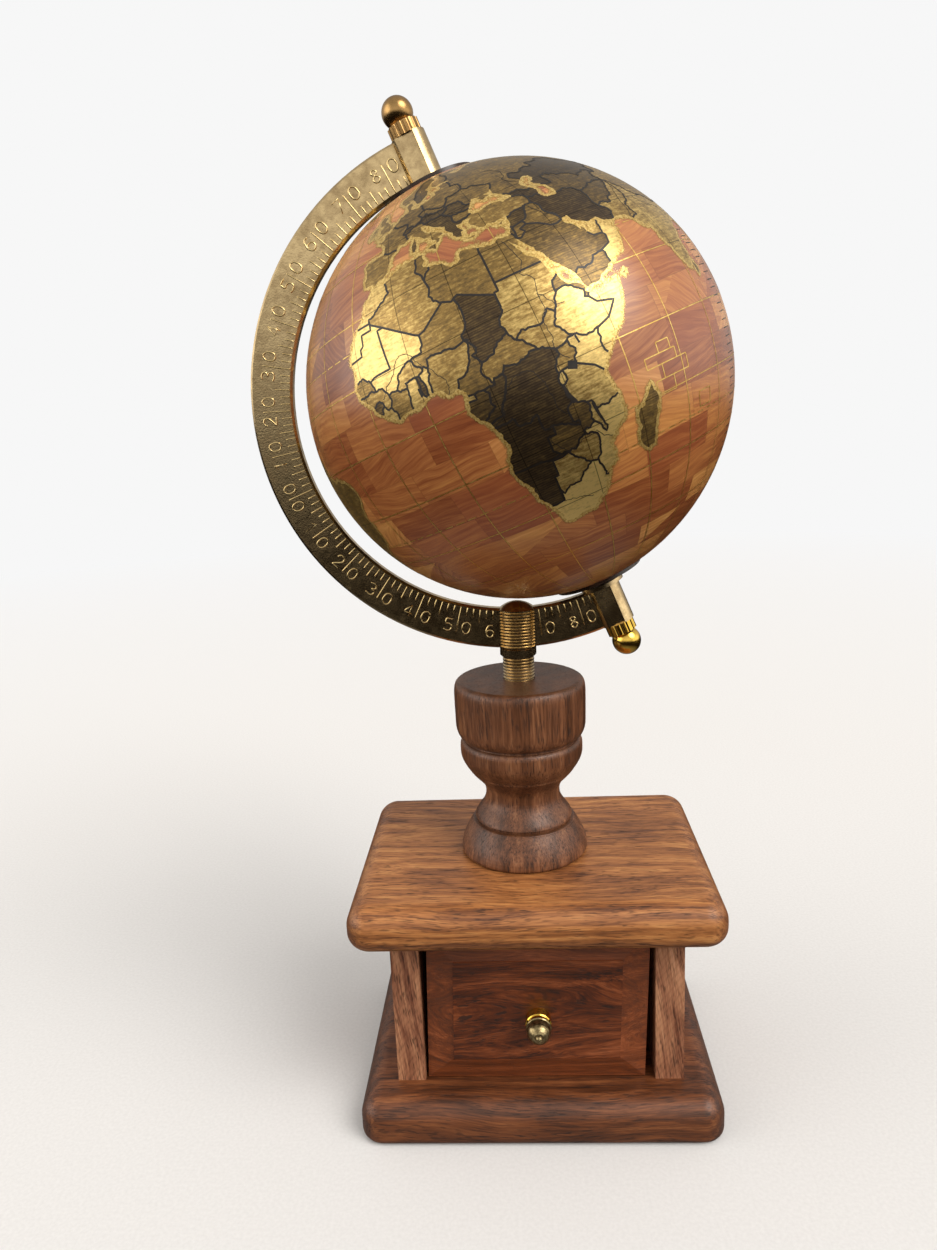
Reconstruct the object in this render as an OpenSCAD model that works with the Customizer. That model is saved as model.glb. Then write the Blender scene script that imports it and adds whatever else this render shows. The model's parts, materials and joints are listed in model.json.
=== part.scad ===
// Desktop globe on a turned wooden stand with a one-drawer base.
// Millimetres, +Z up, origin at the centre of the underside of the base.
// The drawer opens towards -Y. The globe turns on a tilted rod held by a brass half ring.

/* [Base slabs] */
// Width of both slabs, along X
slab_w = 116; // [96:1:150]
// Depth of both slabs, along Y
slab_d = 88; // [72:1:120]
// Thickness of both slabs
slab_t = 14.5; // [13:0.5:20]
// Rounding of the upper edge of a slab
slab_round_top = 7; // [3:0.5:7]
// Rounding of the lower edge of the top slab
slab_round_under = 5.5; // [2:0.5:5.5]
// Rounding of the lower edge of the bottom slab
base_round_under = 3; // [1:0.5:5]
// Rounding of the slab corners seen from above
slab_corner = 7.5; // [7.5:0.5:14]

/* [Case] */
// Outer width of the case under the top slab
case_w = 92.5; // [76:0.5:112]
// Outer depth of the case
case_d = 62.6; // [56:0.1:72]
// Height of the case walls
case_h = 53; // [46:1:70]
// Thickness of the side walls
wall_t = 9; // [7.5:0.1:11]
// Thickness of the back panel
back_t = 4; // [3:0.5:6]
// How far the back panel lies inside the back edge of the walls
back_inset = 2; // [1:0.5:4]
// How deep the back panel sits in a groove in each wall
groove_depth = 3; // [1:0.5:4]

/* [Drawer] */
// Gap on each side of the drawer front, as if it were cut square
front_gap = 2.05; // [1.8:0.05:4]
// Thickness of the drawer front at its thin edge
front_t = 8; // [7:0.5:12]
// How far the thin edge stands back behind the walls
front_setback = 1.3; // [0.5:0.1:3]
// How far the top of the front leans sideways, as it is cut by hand
front_lean = 1.8; // [0:0.1:1.8]
// Width of the bevel round the raised field
bevel_w = 8.5; // [5:0.5:12]
// How far the bevel rises
bevel_rise = 2; // [1:0.1:3]
// Small step between bevel and field
field_step = 0.5; // [0.2:0.1:1]
// Gap under the drawer
gap_under = 0.3; // [0.3:0.05:0.8]
// Gap over the drawer front
gap_over = 0.7; // [0.4:0.1:1.5]
// Gap behind the drawer
gap_behind = 0.8; // [0.5:0.1:2]
// Thickness of the drawer sides and back
box_t = 5; // [4:0.5:7]
// How far the drawer box stays under the top slab
box_headroom = 12.7; // [4:0.1:20]
// Gap on each side of the drawer box
box_gap = 2.75; // [0.5:0.05:5]
// Thickness of the drawer bottom
bottom_t = 3; // [2:0.5:4]
// Length of the drawer knob
knob_l = 10.8; // [9:0.1:14]
// Radius of the drawer knob
knob_r = 4.1; // [3.6:0.1:6]
// Height of the knob above the middle of the front
knob_drop = -3; // [-8:0.5:8]

/* [Post] */
// How far the post stands off the middle of the base, along X
stem_x = -2.5; // [-6:0.5:6]
// Radius of the drum at the top of the post
drum_r = 21.5; // [19:0.5:26]
// Height of the drum
drum_h = 19.3; // [14:0.1:30]
// Radius of the ring under the drum
ring_r = 20.2; // [18:0.1:24]
// Radius of the waist
waist_r = 12.3; // [9:0.1:14]
// Height from the waist up to the ring
cup_h = 14; // [12:0.5:20]
// Height of the ring
ring_h = 5.5; // [4:0.5:8]
// Height of the bell from its lower groove up to the waist
bell_h = 8.5; // [7:0.5:14]
// Radius of the bell at its lower groove
bell_r = 16.2; // [15:0.1:18]
// Radius of the foot
foot_r = 21.2; // [19.5:0.1:26]
// Height of the foot
foot_h = 11.2; // [9:0.1:16]
// Height of the groove between foot and bell
bell_groove = 1; // [0.6:0.1:2]

/* [Brass neck] */
// Outer radius of the threaded stem
stem_r = 5.1; // [4:0.1:6.5]
// Pitch of the fine thread
thread_pitch = 1; // [0.8:0.1:1.5]
// Depth of the thread
thread_depth = 0.35; // [0.2:0.05:0.5]
// Length of stem seen between post and lock nut
stem_show = 8; // [5:0.5:12]
// Length of stem inside the post
stem_in_post = 20; // [12:1:28]
// Height of the lock nut
nut_h = 2.5; // [2:0.1:5]
// Thickness of the lock nut's wall at its corners
nut_wall = 0.8; // [0.6:0.1:3]
// Thickness of the wall of the ribbed boss on the half ring
boss_wall = 0.9; // [0.7:0.1:3]
// Height of the dome on the boss
boss_dome = 2.2; // [1:0.1:3]

/* [Half ring] */
// Width of the flat band
band_w = 13; // [11:0.5:18]
// Thickness of the flat band
band_t = 4; // [3:0.1:5]
// Chamfer on the band's edges
band_chamfer = 0.7; // [0.2:0.1:0.8]
// How far the centre of the ring stands off the globe's axis
ring_offset = 4; // [2:0.5:8]
// Radius of the barrel at each end of the band
end_r = 5.2; // [4.5:0.1:7]
// How far the flat on the front of each barrel lies from its axis
end_flat = 3.6; // [2.8:0.1:4]
// Half width of the flat on the side away from the band
end_flat_w = 1.9; // [1:0.1:2.5]

/* [Globe] */
// Diameter of the globe
globe_d = 127; // [100:1:160]
// Wall thickness of the globe
globe_wall = 2; // [1.5:0.1:4]
// Height of the joining band inside the globe
joint_h = 12; // [6:1:20]
// Thickness of the joining band
joint_t = 1.5; // [1:0.1:3]
// Tilt of the globe's axis, in degrees from upright
axis_tilt = 22.2; // [15:0.1:30]
// Radius of the disc at each pole
disc_r = 14; // [10:0.5:20]
// Thickness of the disc at each pole
disc_t = 1; // [0.6:0.1:2]
// Gap between a pole disc and the next fixed piece
pole_gap = 0.3; // [0.3:0.1:1]
// Thickness of the washer under the south pole
washer_t = 1.2; // [0.8:0.1:2]
// Radius of the washer
washer_r = 6.9; // [5.5:0.1:9]
// Radius of the axis rod
rod_r = 1.5; // [1.2:0.1:2.2]
// Radius of the ball on each end nut
ball_r = 4.6; // [4:0.1:6]
// Height of the fluted collar on each end nut
collar_h = 3.5; // [2.5:0.1:5]
// Radius of the fluted collar
collar_r = 4.7; // [4:0.1:6]
// Number of flutes round a collar
flutes = 16; // [8:1:24]
// Radius of the bush in each pole
bush_r = 5; // [4:0.1:7]

/* [Fasteners] */
// Radius of a wood screw's shank
screw_r = 1.8; // [1.4:0.1:2.2]
// Radius of a wood screw's head
screw_head_r = 3.6; // [3:0.1:4]
// How deep a wood screw bites into the piece it holds
screw_bite = 16; // [10:1:24]
// Radius of a dowel
dowel_r = 2.5; // [2:0.1:3]
// Half length of a dowel
dowel_half = 8; // [5:0.5:10]
// Distance from the front and back of a wall to its screws and dowels
fix_inset = 14; // [10:0.5:20]
// Radius of a nail
nail_r = 0.7; // [0.5:0.1:1]
// Length of a nail
nail_l = 16; // [12:1:20]

/* [Fits] */
// Radial clearance of the rod in the bushes that turn on it
run_fit = 0.06; // [0.03:0.01:0.1]
// Radial clearance of everything that is pressed, glued or screwed in
set_fit = 0.05; // [0.02:0.01:0.1]

/* [Hidden] */
$fn = 96;
eps = 0.01;
wood_dark = [0.33, 0.18, 0.10];
wood_mid = [0.45, 0.26, 0.15];
wood_warm = [0.58, 0.36, 0.20];
brass = [0.78, 0.62, 0.30];
steel = [0.62, 0.62, 0.64];
amber = [0.74, 0.42, 0.24];

// Levels of the stand, from the table up
wall_z = slab_t;
top_z = wall_z + case_h;
post_z = top_z + slab_t;
post_h = foot_h + bell_groove + bell_h + cup_h + ring_h + drum_h;
neck_z = post_z + post_h;
nut_z = neck_z + stem_show;
nut_r = stem_r + nut_wall;
boss_r = stem_r + boss_wall;
boss_z = nut_z + nut_h;

// Heights on the post, from its own foot
bell_z = foot_h + bell_groove;
waist_z = bell_z + bell_h;
cup_z = waist_z + cup_h;
collar_z = cup_z + ring_h;

// Case and drawer
inner_w = case_w - 2 * wall_t;
front_w = inner_w - 2 * front_gap;
box_w = inner_w - 2 * box_gap;
wall_front_y = -case_d / 2;
back_y = case_d / 2 - back_inset - back_t;
front_y = wall_front_y + front_setback;
box_front_y = front_y + front_t;
box_back_y = back_y - gap_behind;
drawer_z = slab_t + gap_under;
box_h = case_h - gap_under - box_headroom;
front_h = case_h - gap_under - gap_over;
knob_z = drawer_z + front_h / 2 + knob_drop;
field_y = front_y - bevel_rise - field_step;
wall_mid_x = (inner_w + wall_t) / 2;
fix_y = case_d / 2 - fix_inset;
screw_head_h = screw_head_r - screw_r;

// Globe, its poles and the half ring that carries it
globe_r = globe_d / 2;
globe_in = globe_r - globe_wall;
north_face = globe_r + disc_t + pole_gap;
south_face = globe_r + disc_t + pole_gap + washer_t;
half_gap = (north_face + south_face) / 2;
ring_shift = (north_face - south_face) / 2;
ring_in = sqrt(half_gap * half_gap + ring_offset * ring_offset);
ring_out = ring_in + band_w;
ring_mid = ring_in + band_w / 2;
ring_dx = -ring_offset * cos(axis_tilt) - ring_shift * sin(axis_tilt);
ring_dz = -ring_offset * sin(axis_tilt) + ring_shift * cos(axis_tilt);
globe_x = 0;
boss_dx = stem_x - globe_x - ring_dx;
ring_z = boss_z + sqrt(ring_out * ring_out - boss_dx * boss_dx);
globe_z = ring_z - ring_dz;
north_far = ring_out + ring_shift;
south_far = ring_out - ring_shift;
boss_top = ring_z - sqrt(ring_in * ring_in - boss_dx * boss_dx);
stem_top = boss_z + band_w * 0.6;

// Points on a circle, and on a curve pulled by two handles
function arc_points(x, z, r, from, to, steps) =
    [for (i = [0:steps]) let (a = from + (to - from) * i / steps) [x + r * cos(a), z + r * sin(a)]];
function curve_points(a, b, c, d, steps) =
    [for (i = [0:steps]) let (t = i / steps, s = 1 - t)
        s * s * s * a + 3 * s * s * t * b + 3 * s * t * t * c + t * t * t * d];

// ---------------------------------------------------------------- wooden base

// Outline of a slab's edge, w wide and slab_t high, with its own rounding above and below
module edge_outline(w, under) {
    over = min(slab_round_top, slab_t / 2);
    low = min(under, slab_t - over - 1);
    translate([-w / 2 + low, 0]) square([w - 2 * low, slab_t - over]);
    translate([-w / 2 + over, low]) square([w - 2 * over, slab_t - low]);
    translate([-w / 2, low]) square([w, slab_t - over - low]);
    for (side = [-1, 1]) {
        translate([side * (w / 2 - low), low]) circle(r = low);
        translate([side * (w / 2 - over), slab_t - over]) circle(r = over);
    }
}

// Board with rounded edges and corners, as a router leaves it: the edge is swept round each corner
module slab(under) {
    corner = max(slab_corner, slab_round_top + 0.2);
    rotate([90, 0, 0])
        linear_extrude(slab_d - 2 * corner, center = true) edge_outline(slab_w, under);
    rotate([90, 0, 90])
        linear_extrude(slab_w - 2 * corner, center = true) edge_outline(slab_d, under);
    for (x = [-1, 1], y = [-1, 1])
        translate([x * (slab_w / 2 - corner), y * (slab_d / 2 - corner)])
            rotate_extrude() intersection() {
                edge_outline(2 * corner, under);
                square([corner, slab_t]);
            }
}

// Countersunk wood screw pointing up, head face at z = 0; grow makes its hole
module wood_screw(through, grow) {
    head = screw_head_r + grow;
    shank = screw_r + grow;
    length = through + screw_bite + grow;
    rotate_extrude()
        polygon([[0, 0], [head, 0], [shank, screw_head_h + grow], [shank, length - 3],
                 [0.3, length], [0, length]]);
}

module at_wall_fixings(z) {
    for (x = [-wall_mid_x, wall_mid_x], y = [-fix_y, fix_y])
        translate([x, y, z]) children();
}

module dowel(grow) {
    translate([0, 0, -dowel_half - grow])
        cylinder(r = dowel_r + grow, h = 2 * (dowel_half + grow));
}

module post_screw_at(grow) {
    translate([stem_x, 0, top_z]) wood_screw(slab_t, grow);
}

module bottom_slab() {
    color(wood_dark)
    difference() {
        slab(base_round_under);
        at_wall_fixings(-eps) wood_screw(slab_t, set_fit);
    }
}

module top_slab() {
    color(wood_warm)
    translate([0, 0, top_z])
    difference() {
        slab(slab_round_under);
        at_wall_fixings(0) dowel(set_fit);
        translate([0, 0, -top_z - eps]) post_screw_at(set_fit);
    }
}

module wall(side) {
    difference() {
        translate([side * wall_mid_x - wall_t / 2, -case_d / 2, wall_z])
            cube([wall_t, case_d, case_h]);
        translate([side * inner_w / 2 - groove_depth - set_fit, back_y - set_fit, wall_z - eps])
            cube([2 * (groove_depth + set_fit), back_t + 2 * set_fit, case_h + 2 * eps]);
        at_wall_fixings(0) wood_screw(slab_t, set_fit);
        at_wall_fixings(top_z) dowel(set_fit);
    }
}

module left_wall() {
    color(wood_mid) wall(-1);
}

module right_wall() {
    color(wood_mid) wall(1);
}

module back_panel() {
    color(wood_mid)
    translate([-inner_w / 2 - groove_depth, back_y, wall_z])
        cube([inner_w + 2 * groove_depth, back_t, case_h]);
}

module wall_screws() {
    color(steel) at_wall_fixings(0) wood_screw(slab_t, 0);
}

module top_dowels() {
    color(wood_warm) at_wall_fixings(top_z) dowel(0);
}

// ---------------------------------------------------------------- turned post

// Half outline of the post, from the foot up
post_outline = concat(
    [[0, 0], [foot_r - 1.2, 0]],
    arc_points(foot_r - 1.2, 1.2, 1.2, -80, -10, 5),
    curve_points([foot_r, 1.6], [foot_r - 0.3, 5], [bell_r + 2.4, foot_h - 2.6],
                 [bell_r + 1.1, foot_h - 0.5], 10),
    arc_points(bell_r + 0.4, foot_h - 0.6, 0.6, 10, 100, 5),
    [[bell_r - 0.5, foot_h + 0.15], [bell_r - 0.5, bell_z - 0.15]],
    curve_points([bell_r, bell_z + 0.1], [bell_r - 0.6, bell_z + 2.6],
                 [waist_r, waist_z - 4.2], [waist_r, waist_z], 12),
    curve_points([waist_r, waist_z], [waist_r, waist_z + 3.4],
                 [waist_r + 1.6, waist_z + 4.2], [waist_r + 4.4, waist_z + cup_h - 6.6], 12),
    [[waist_r + 4.5, waist_z + cup_h - 5.9], [waist_r + 5, waist_z + cup_h - 5.8]],
    curve_points([waist_r + 5, waist_z + cup_h - 5.8], [waist_r + 6.6, waist_z + cup_h - 3.4],
                 [ring_r, cup_z - 1.6], [ring_r, cup_z + 1], 10),
    [[ring_r, collar_z - 3]],
    curve_points([ring_r, collar_z - 3], [ring_r, collar_z - 1.8], [ring_r - 0.4, collar_z - 0.9],
                 [ring_r - 1.3, collar_z - 0.6], 6),
    [[ring_r - 1.4, collar_z]],
    curve_points([drum_r - 2.1, collar_z + 0.1], [drum_r - 0.7, collar_z + 1.2],
                 [drum_r - 0.1, collar_z + 3], [drum_r - 0.1, collar_z + 5.5], 10),
    [[drum_r, collar_z + drum_h * 0.6]],
    curve_points([drum_r, post_h - 4], [drum_r, post_h - 1.4], [drum_r - 0.5, post_h - 0.5],
                 [drum_r - 1.6, post_h - 0.1], 8),
    [[drum_r - 2, post_h], [0, post_h]]);

module turned_post() {
    color(wood_mid)
    difference() {
        translate([stem_x, 0, post_z]) rotate_extrude() polygon(post_outline);
        translate([stem_x, 0, neck_z - stem_in_post])
            cylinder(r = stem_r + set_fit, h = stem_in_post + eps);
        post_screw_at(set_fit);
    }
}

module post_screw() {
    color(steel) post_screw_at(0);
}

// ---------------------------------------------------------------- brass neck

// Round bar with fine ribs all along it
module ribbed_bar(r, depth, length) {
    ribs = floor(length / thread_pitch);
    step = length / ribs;
    rotate_extrude()
        polygon(concat([[0, 0]],
            [for (i = [0:ribs - 1], k = [0, 0.3, 0.7]) [k == 0 ? r - depth : r, (i + k) * step]],
            [[r - depth, length], [0, length]]));
}

module threaded_stem() {
    color(brass)
    translate([stem_x, 0, neck_z - stem_in_post + 0.5])
        ribbed_bar(stem_r, thread_depth, stem_top - neck_z + stem_in_post - 0.5);
}

module lock_nut() {
    color(brass)
    translate([stem_x, 0, nut_z])
    difference() {
        cylinder(r = nut_r, h = nut_h, $fn = 12);
        translate([0, 0, -eps]) cylinder(r = stem_r + set_fit, h = nut_h + 2 * eps);
    }
}

// ---------------------------------------------------------------- half ring

// Places things at the globe's centre with Z along its tilted axis
module at_globe() {
    translate([globe_x, 0, globe_z]) rotate([0, -axis_tilt, 0]) children();
}

// The flat band, lying in the XZ plane round the ring's own centre
module band() {
    reach = asin(ring_offset / ring_mid);
    half = band_t / 2;
    c = band_chamfer;
    rotate([90, 0, 0])
    rotate([0, 0, 90 - reach])
    rotate_extrude(angle = 180 + 2 * reach)
        polygon([[ring_in, c - half], [ring_in + c, -half], [ring_out - c, -half],
                 [ring_out, c - half], [ring_out, half - c], [ring_out - c, half],
                 [ring_in + c, half], [ring_in, half - c]]);
}

// Barrel at an end of the band: from face to far along the axis, with a flat on its front
module end_barrel(face, far) {
    difference() {
        translate([0, 0, face]) cylinder(r = end_r, h = far - face);
        translate([-2 * end_r, -2 * end_r, face - eps])
            cube([2 * end_r + end_flat_w, 2 * end_r - end_flat, far - face + 2 * eps]);
    }
}

module meridian_arc() {
    color(brass)
    difference() {
        union() {
            at_globe() {
                translate([-ring_offset, 0, ring_shift]) band();
                end_barrel(north_face, north_far);
                mirror([0, 0, 1]) end_barrel(south_face, south_far);
            }
            translate([stem_x, 0, boss_z]) {
                ribbed_bar(boss_r, thread_depth, boss_top - boss_z);
                translate([0, 0, boss_top - boss_z - eps]) boss_dome_cap();
            }
        }
        at_globe() translate([0, 0, -south_far - 1])
            cylinder(r = rod_r + set_fit, h = north_far + south_far + 2);
        translate([stem_x, 0, boss_z - eps])
            cylinder(r = stem_r + set_fit, h = stem_top - boss_z + 0.5);
    }
}

// Shallow dome, cut from a ball that meets the boss just inside its rim
module boss_dome_cap() {
    rim = boss_r - thread_depth;
    ball = (rim * rim + boss_dome * boss_dome) / (2 * boss_dome);
    intersection() {
        translate([0, 0, boss_dome - ball]) sphere(r = ball);
        cylinder(r = rim, h = boss_dome + 1);
    }
}

module axis_rod() {
    color(steel)
    at_globe() translate([0, 0, -south_far - collar_h])
        cylinder(r = rod_r, h = north_far + south_far + 2 * collar_h);
}

// Fluted collar with a ball on it, standing on z = 0, tapped from below
module ball_nut() {
    difference() {
        union() {
            difference() {
                cylinder(r = collar_r, h = collar_h);
                for (i = [0:flutes - 1])
                    rotate([0, 0, i * 360 / flutes]) translate([collar_r + 0.25, 0, -eps])
                        cylinder(r = 0.6, h = collar_h + 2 * eps);
            }
            translate([0, 0, collar_h + ball_r * 0.72]) sphere(r = ball_r);
        }
        translate([0, 0, -ball_r]) cube([3 * ball_r, 3 * ball_r, 2 * ball_r], center = true);
        translate([0, 0, -eps]) cylinder(r = rod_r + set_fit, h = collar_h + 0.5);
    }
}

module top_ball_nut() {
    color(brass) at_globe() translate([0, 0, north_far]) ball_nut();
}

module bottom_ball_nut() {
    color(brass) at_globe() mirror([0, 0, 1]) translate([0, 0, south_far]) ball_nut();
}

module pole_washer() {
    color(brass)
    at_globe() mirror([0, 0, 1]) translate([0, 0, south_face - washer_t])
    difference() {
        cylinder(r = washer_r, h = washer_t);
        translate([0, 0, -eps]) cylinder(r = rod_r + set_fit, h = washer_t + 2 * eps);
    }
}

// ---------------------------------------------------------------- globe

// Hollow half ball with a hole for the bush at its pole
module half_shell() {
    difference() {
        sphere(r = globe_r);
        sphere(r = globe_in);
        translate([0, 0, -globe_r]) cube([3 * globe_r, 3 * globe_r, 2 * globe_r], center = true);
        cylinder(r = bush_r + set_fit, h = globe_r + 1);
    }
}

module north_shell() {
    color(amber) at_globe() half_shell();
}

module south_shell() {
    color(amber) at_globe() mirror([0, 0, 1]) half_shell();
}

// Band glued inside both halves where they meet
module equator_ring() {
    outer = sqrt(globe_in * globe_in - joint_h * joint_h / 4) - set_fit;
    color(wood_warm)
    at_globe() rotate_extrude()
        translate([outer - joint_t, -joint_h / 2]) square([joint_t, joint_h]);
}

// Flanged bush that lines a pole; its flange sits inside the shell
module pole_bush() {
    flange_r = bush_r + 2;
    flange_top = sqrt(globe_in * globe_in - flange_r * flange_r) - set_fit;
    bush_top = sqrt(globe_r * globe_r - bush_r * bush_r) - set_fit;
    difference() {
        union() {
            translate([0, 0, flange_top - 3]) cylinder(r = flange_r, h = 3);
            translate([0, 0, flange_top - 6]) cylinder(r = bush_r, h = bush_top - flange_top + 6);
        }
        translate([0, 0, flange_top - 7]) cylinder(r = rod_r + run_fit, h = globe_r);
    }
}

module north_bush() {
    color(steel) at_globe() pole_bush();
}

module south_bush() {
    color(steel) at_globe() mirror([0, 0, 1]) pole_bush();
}

// Thin domed disc over a pole
module pole_disc() {
    intersection() {
        difference() {
            sphere(r = globe_r + disc_t);
            sphere(r = globe_r + set_fit / 2);
        }
        difference() {
            cylinder(r = disc_r, h = globe_r + 10);
            translate([0, 0, -1]) cylinder(r = rod_r + 0.5, h = globe_r + 12);
        }
    }
}

module north_disc() {
    color([0.16, 0.10, 0.07]) at_globe() pole_disc();
}

module south_disc() {
    color([0.16, 0.10, 0.07]) at_globe() mirror([0, 0, 1]) pole_disc();
}

// ---------------------------------------------------------------- drawer

// Outline of the drawer front seen from the front, inset all round by edge
module front_outline(edge) {
    half = front_w / 2 - edge;
    low = edge;
    high = front_h - edge;
    shift_low = front_lean * (low / front_h - 2 / 3);
    shift_high = front_lean * (high / front_h - 2 / 3);
    polygon([[shift_low - half, low], [shift_low + half, low],
             [shift_high + half, high], [shift_high - half, high]]);
}

// Plate of that outline between two depths along Y
module front_plate(edge, near, far) {
    translate([0, far, drawer_z]) rotate([90, 0, 0]) linear_extrude(far - near) front_outline(edge);
}

// Screw through the drawer front into the knob, head inside the drawer
module knob_screw_at(grow) {
    screw_end = field_y - knob_l * 0.55;
    translate([0, 0, knob_z]) rotate([90, 0, 0]) {
        translate([0, 0, -box_front_y - 2]) cylinder(r = 3 + grow, h = 2);
        translate([0, 0, -box_front_y - eps])
            cylinder(r = 1.5 + grow, h = box_front_y - screw_end + grow);
    }
}

module drawer_front() {
    color(wood_dark)
    difference() {
        union() {
            hull() {
                front_plate(0, front_y, box_front_y);
                front_plate(bevel_w, front_y - bevel_rise, front_y);
            }
            front_plate(bevel_w, field_y, front_y);
        }
        knob_screw_at(set_fit);
    }
}

module drawer_side(side) {
    translate([side * (box_w - box_t) / 2 - box_t / 2, box_front_y, drawer_z])
        cube([box_t, box_back_y - box_front_y, box_h]);
}

// Nails that hold the drawer back between the sides
module at_drawer_nails() {
    for (side = [-1, 1], z = [0.3, 0.7])
        translate([side * box_w / 2, box_back_y - box_t / 2, drawer_z + box_h * z])
            rotate([0, -side * 90, 0]) children();
}

module nail(grow) {
    translate([0, 0, -eps]) cylinder(r = nail_r + grow, h = nail_l + grow + eps);
}

module drawer_left_side() {
    color(wood_warm) difference() {
        drawer_side(-1);
        at_drawer_nails() nail(set_fit);
    }
}

module drawer_right_side() {
    color(wood_warm) difference() {
        drawer_side(1);
        at_drawer_nails() nail(set_fit);
    }
}

module drawer_back() {
    color(wood_warm) difference() {
        translate([-box_w / 2 + box_t, box_back_y - box_t, drawer_z])
            cube([box_w - 2 * box_t, box_t, box_h]);
        at_drawer_nails() nail(set_fit);
    }
}

module drawer_bottom() {
    color(wood_warm)
    translate([-box_w / 2 + box_t, box_front_y, drawer_z])
        cube([box_w - 2 * box_t, box_back_y - box_t - box_front_y, bottom_t]);
}

module drawer_nails() {
    color(steel) at_drawer_nails() cylinder(r = nail_r, h = nail_l);
}

// Acorn knob: a bright collar, a groove, a ring and a pointed body
knob_outline = concat(
    [[0, 0], [knob_r, 0], [knob_r, 3.1]],
    [[knob_r - 0.3, 3.4], [knob_r - 0.9, 3.5], [knob_r - 0.9, 4]],
    arc_points(knob_r - 0.6, 4.6, 0.6, -90, 90, 6),
    [[knob_r - 1, 5.3]],
    curve_points([knob_r - 0.4, 5.5], [knob_r, 7], [knob_r - 0.6, knob_l - 2.2],
                 [1.7, knob_l - 1.2], 8),
    curve_points([1.2, knob_l - 1.1], [1.1, knob_l - 0.5], [0.7, knob_l - 0.1], [0, knob_l], 5));

module drawer_knob() {
    color(brass)
    difference() {
        translate([0, field_y, knob_z]) rotate([90, 0, 0])
            rotate_extrude() polygon(knob_outline);
        knob_screw_at(set_fit);
    }
}

module knob_screw() {
    color(steel) knob_screw_at(0);
}

bottom_slab();
left_wall();
right_wall();
back_panel();
wall_screws();
top_dowels();
top_slab();
turned_post();
post_screw();
threaded_stem();
lock_nut();
meridian_arc();
axis_rod();
top_ball_nut();
bottom_ball_nut();
pole_washer();
north_shell();
south_shell();
equator_ring();
north_bush();
south_bush();
north_disc();
south_disc();
drawer_front();
drawer_left_side();
drawer_right_side();
drawer_back();
drawer_bottom();
drawer_knob();
knob_screw();
drawer_nails();
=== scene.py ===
# %% [markdown]
# # A desk globe on a drawer stand
#
# The object is a small globe in a half ring of cast brass, on a turned wooden post, on a little
# wooden case with one drawer. Every piece with a real shape was modelled as a solid already, and
# this script gives those solids their wood, brass and print. It also adds what is too fine for the
# solids: the raised scale on the ring and the printed map. The first step loads the solids. They
# stay where they are, so all positions below are read from them.

# %% Load the solids
import json
import math

import bpy
import numpy as np
from mathutils import Matrix, Vector, geometry, kdtree, noise


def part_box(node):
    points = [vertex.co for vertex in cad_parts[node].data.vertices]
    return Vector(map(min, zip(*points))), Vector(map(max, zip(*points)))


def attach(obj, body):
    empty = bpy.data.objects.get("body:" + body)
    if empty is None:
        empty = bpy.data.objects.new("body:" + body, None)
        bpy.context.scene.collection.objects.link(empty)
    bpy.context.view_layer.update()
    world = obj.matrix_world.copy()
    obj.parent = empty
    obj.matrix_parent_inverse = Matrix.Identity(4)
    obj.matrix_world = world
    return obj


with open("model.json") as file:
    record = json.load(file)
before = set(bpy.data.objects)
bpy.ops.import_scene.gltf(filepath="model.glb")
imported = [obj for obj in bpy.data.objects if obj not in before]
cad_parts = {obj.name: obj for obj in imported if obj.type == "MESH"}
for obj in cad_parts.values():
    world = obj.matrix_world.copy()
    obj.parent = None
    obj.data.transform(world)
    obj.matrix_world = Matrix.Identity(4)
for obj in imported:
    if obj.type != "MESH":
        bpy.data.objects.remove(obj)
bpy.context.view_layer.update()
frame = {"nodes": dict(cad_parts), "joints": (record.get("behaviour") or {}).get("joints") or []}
MM = 0.001

# %% [markdown]
# ## Where the globe turns
#
# The globe spins on a rod that leans away from the vertical, as the Earth's axis does. The joint in
# the record gives a point on that axis and its direction. From those two come the globe's centre
# and the three directions that the map is laid out with: along the axis, to the right, and out of
# the front.

# %% The globe's own directions
spin = next(j for j in frame["joints"] if j["name"] == "globe_spin")
centre = Vector(spin["pos_m"])
axis = Vector(spin["axis"]).normalized()
front = Vector((0, -1, 0))
right = front.cross(axis) * -1
globe_radius = (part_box("south_shell")[1].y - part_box("south_shell")[0].y) / 2
lean = math.atan2(-axis.x, axis.z)
print("globe radius", round(globe_radius / MM, 2), "mm, lean", round(math.degrees(lean), 1))

# %% [markdown]
# ## Small helpers for node trees
#
# A material is a tree of nodes. Making nodes one at a time takes three lines each, so these helpers
# shorten it: one adds a node, one joins or sets a socket, and the others make the kinds of node
# that are used most. Colours are written as the usual hex codes and turned into the linear values
# that the renderer counts in.

# %% Node helpers
def tint(code):
    """The linear colour of a hex code such as #c09060."""
    parts = [int(code[i : i + 2], 16) / 255 for i in (1, 3, 5)]
    linear = [p / 12.92 if p <= 0.04045 else ((p + 0.055) / 1.055) ** 2.4 for p in parts]
    return (*linear, 1.0)


def plug(tree, socket, value):
    """Joins another node's output to a socket, or sets the socket's own value."""
    if isinstance(value, bpy.types.NodeSocket):
        tree.links.new(value, socket)
    elif value is not None:
        socket.default_value = value


def add(tree, kind, inputs=None, **settings):
    """Adds a node, with its settings and its inputs by name."""
    node = tree.nodes.new("ShaderNode" + kind)
    for name, value in settings.items():
        setattr(node, name, value)
    for name, value in (inputs or {}).items():
        plug(tree, node.inputs[name], value)
    return node


def calc(tree, operation, *values):
    """A Math node on one to three values."""
    node = add(tree, "Math", operation=operation)
    for socket, value in zip(node.inputs, values):
        plug(tree, socket, value)
    return node.outputs[0]


def arrow(tree, operation, *values):
    """A Vector Math node on one or two vectors."""
    node = add(tree, "VectorMath", operation=operation)
    for socket, value in zip(node.inputs, values):
        plug(tree, socket, value)
    return node.outputs[0]


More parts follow.
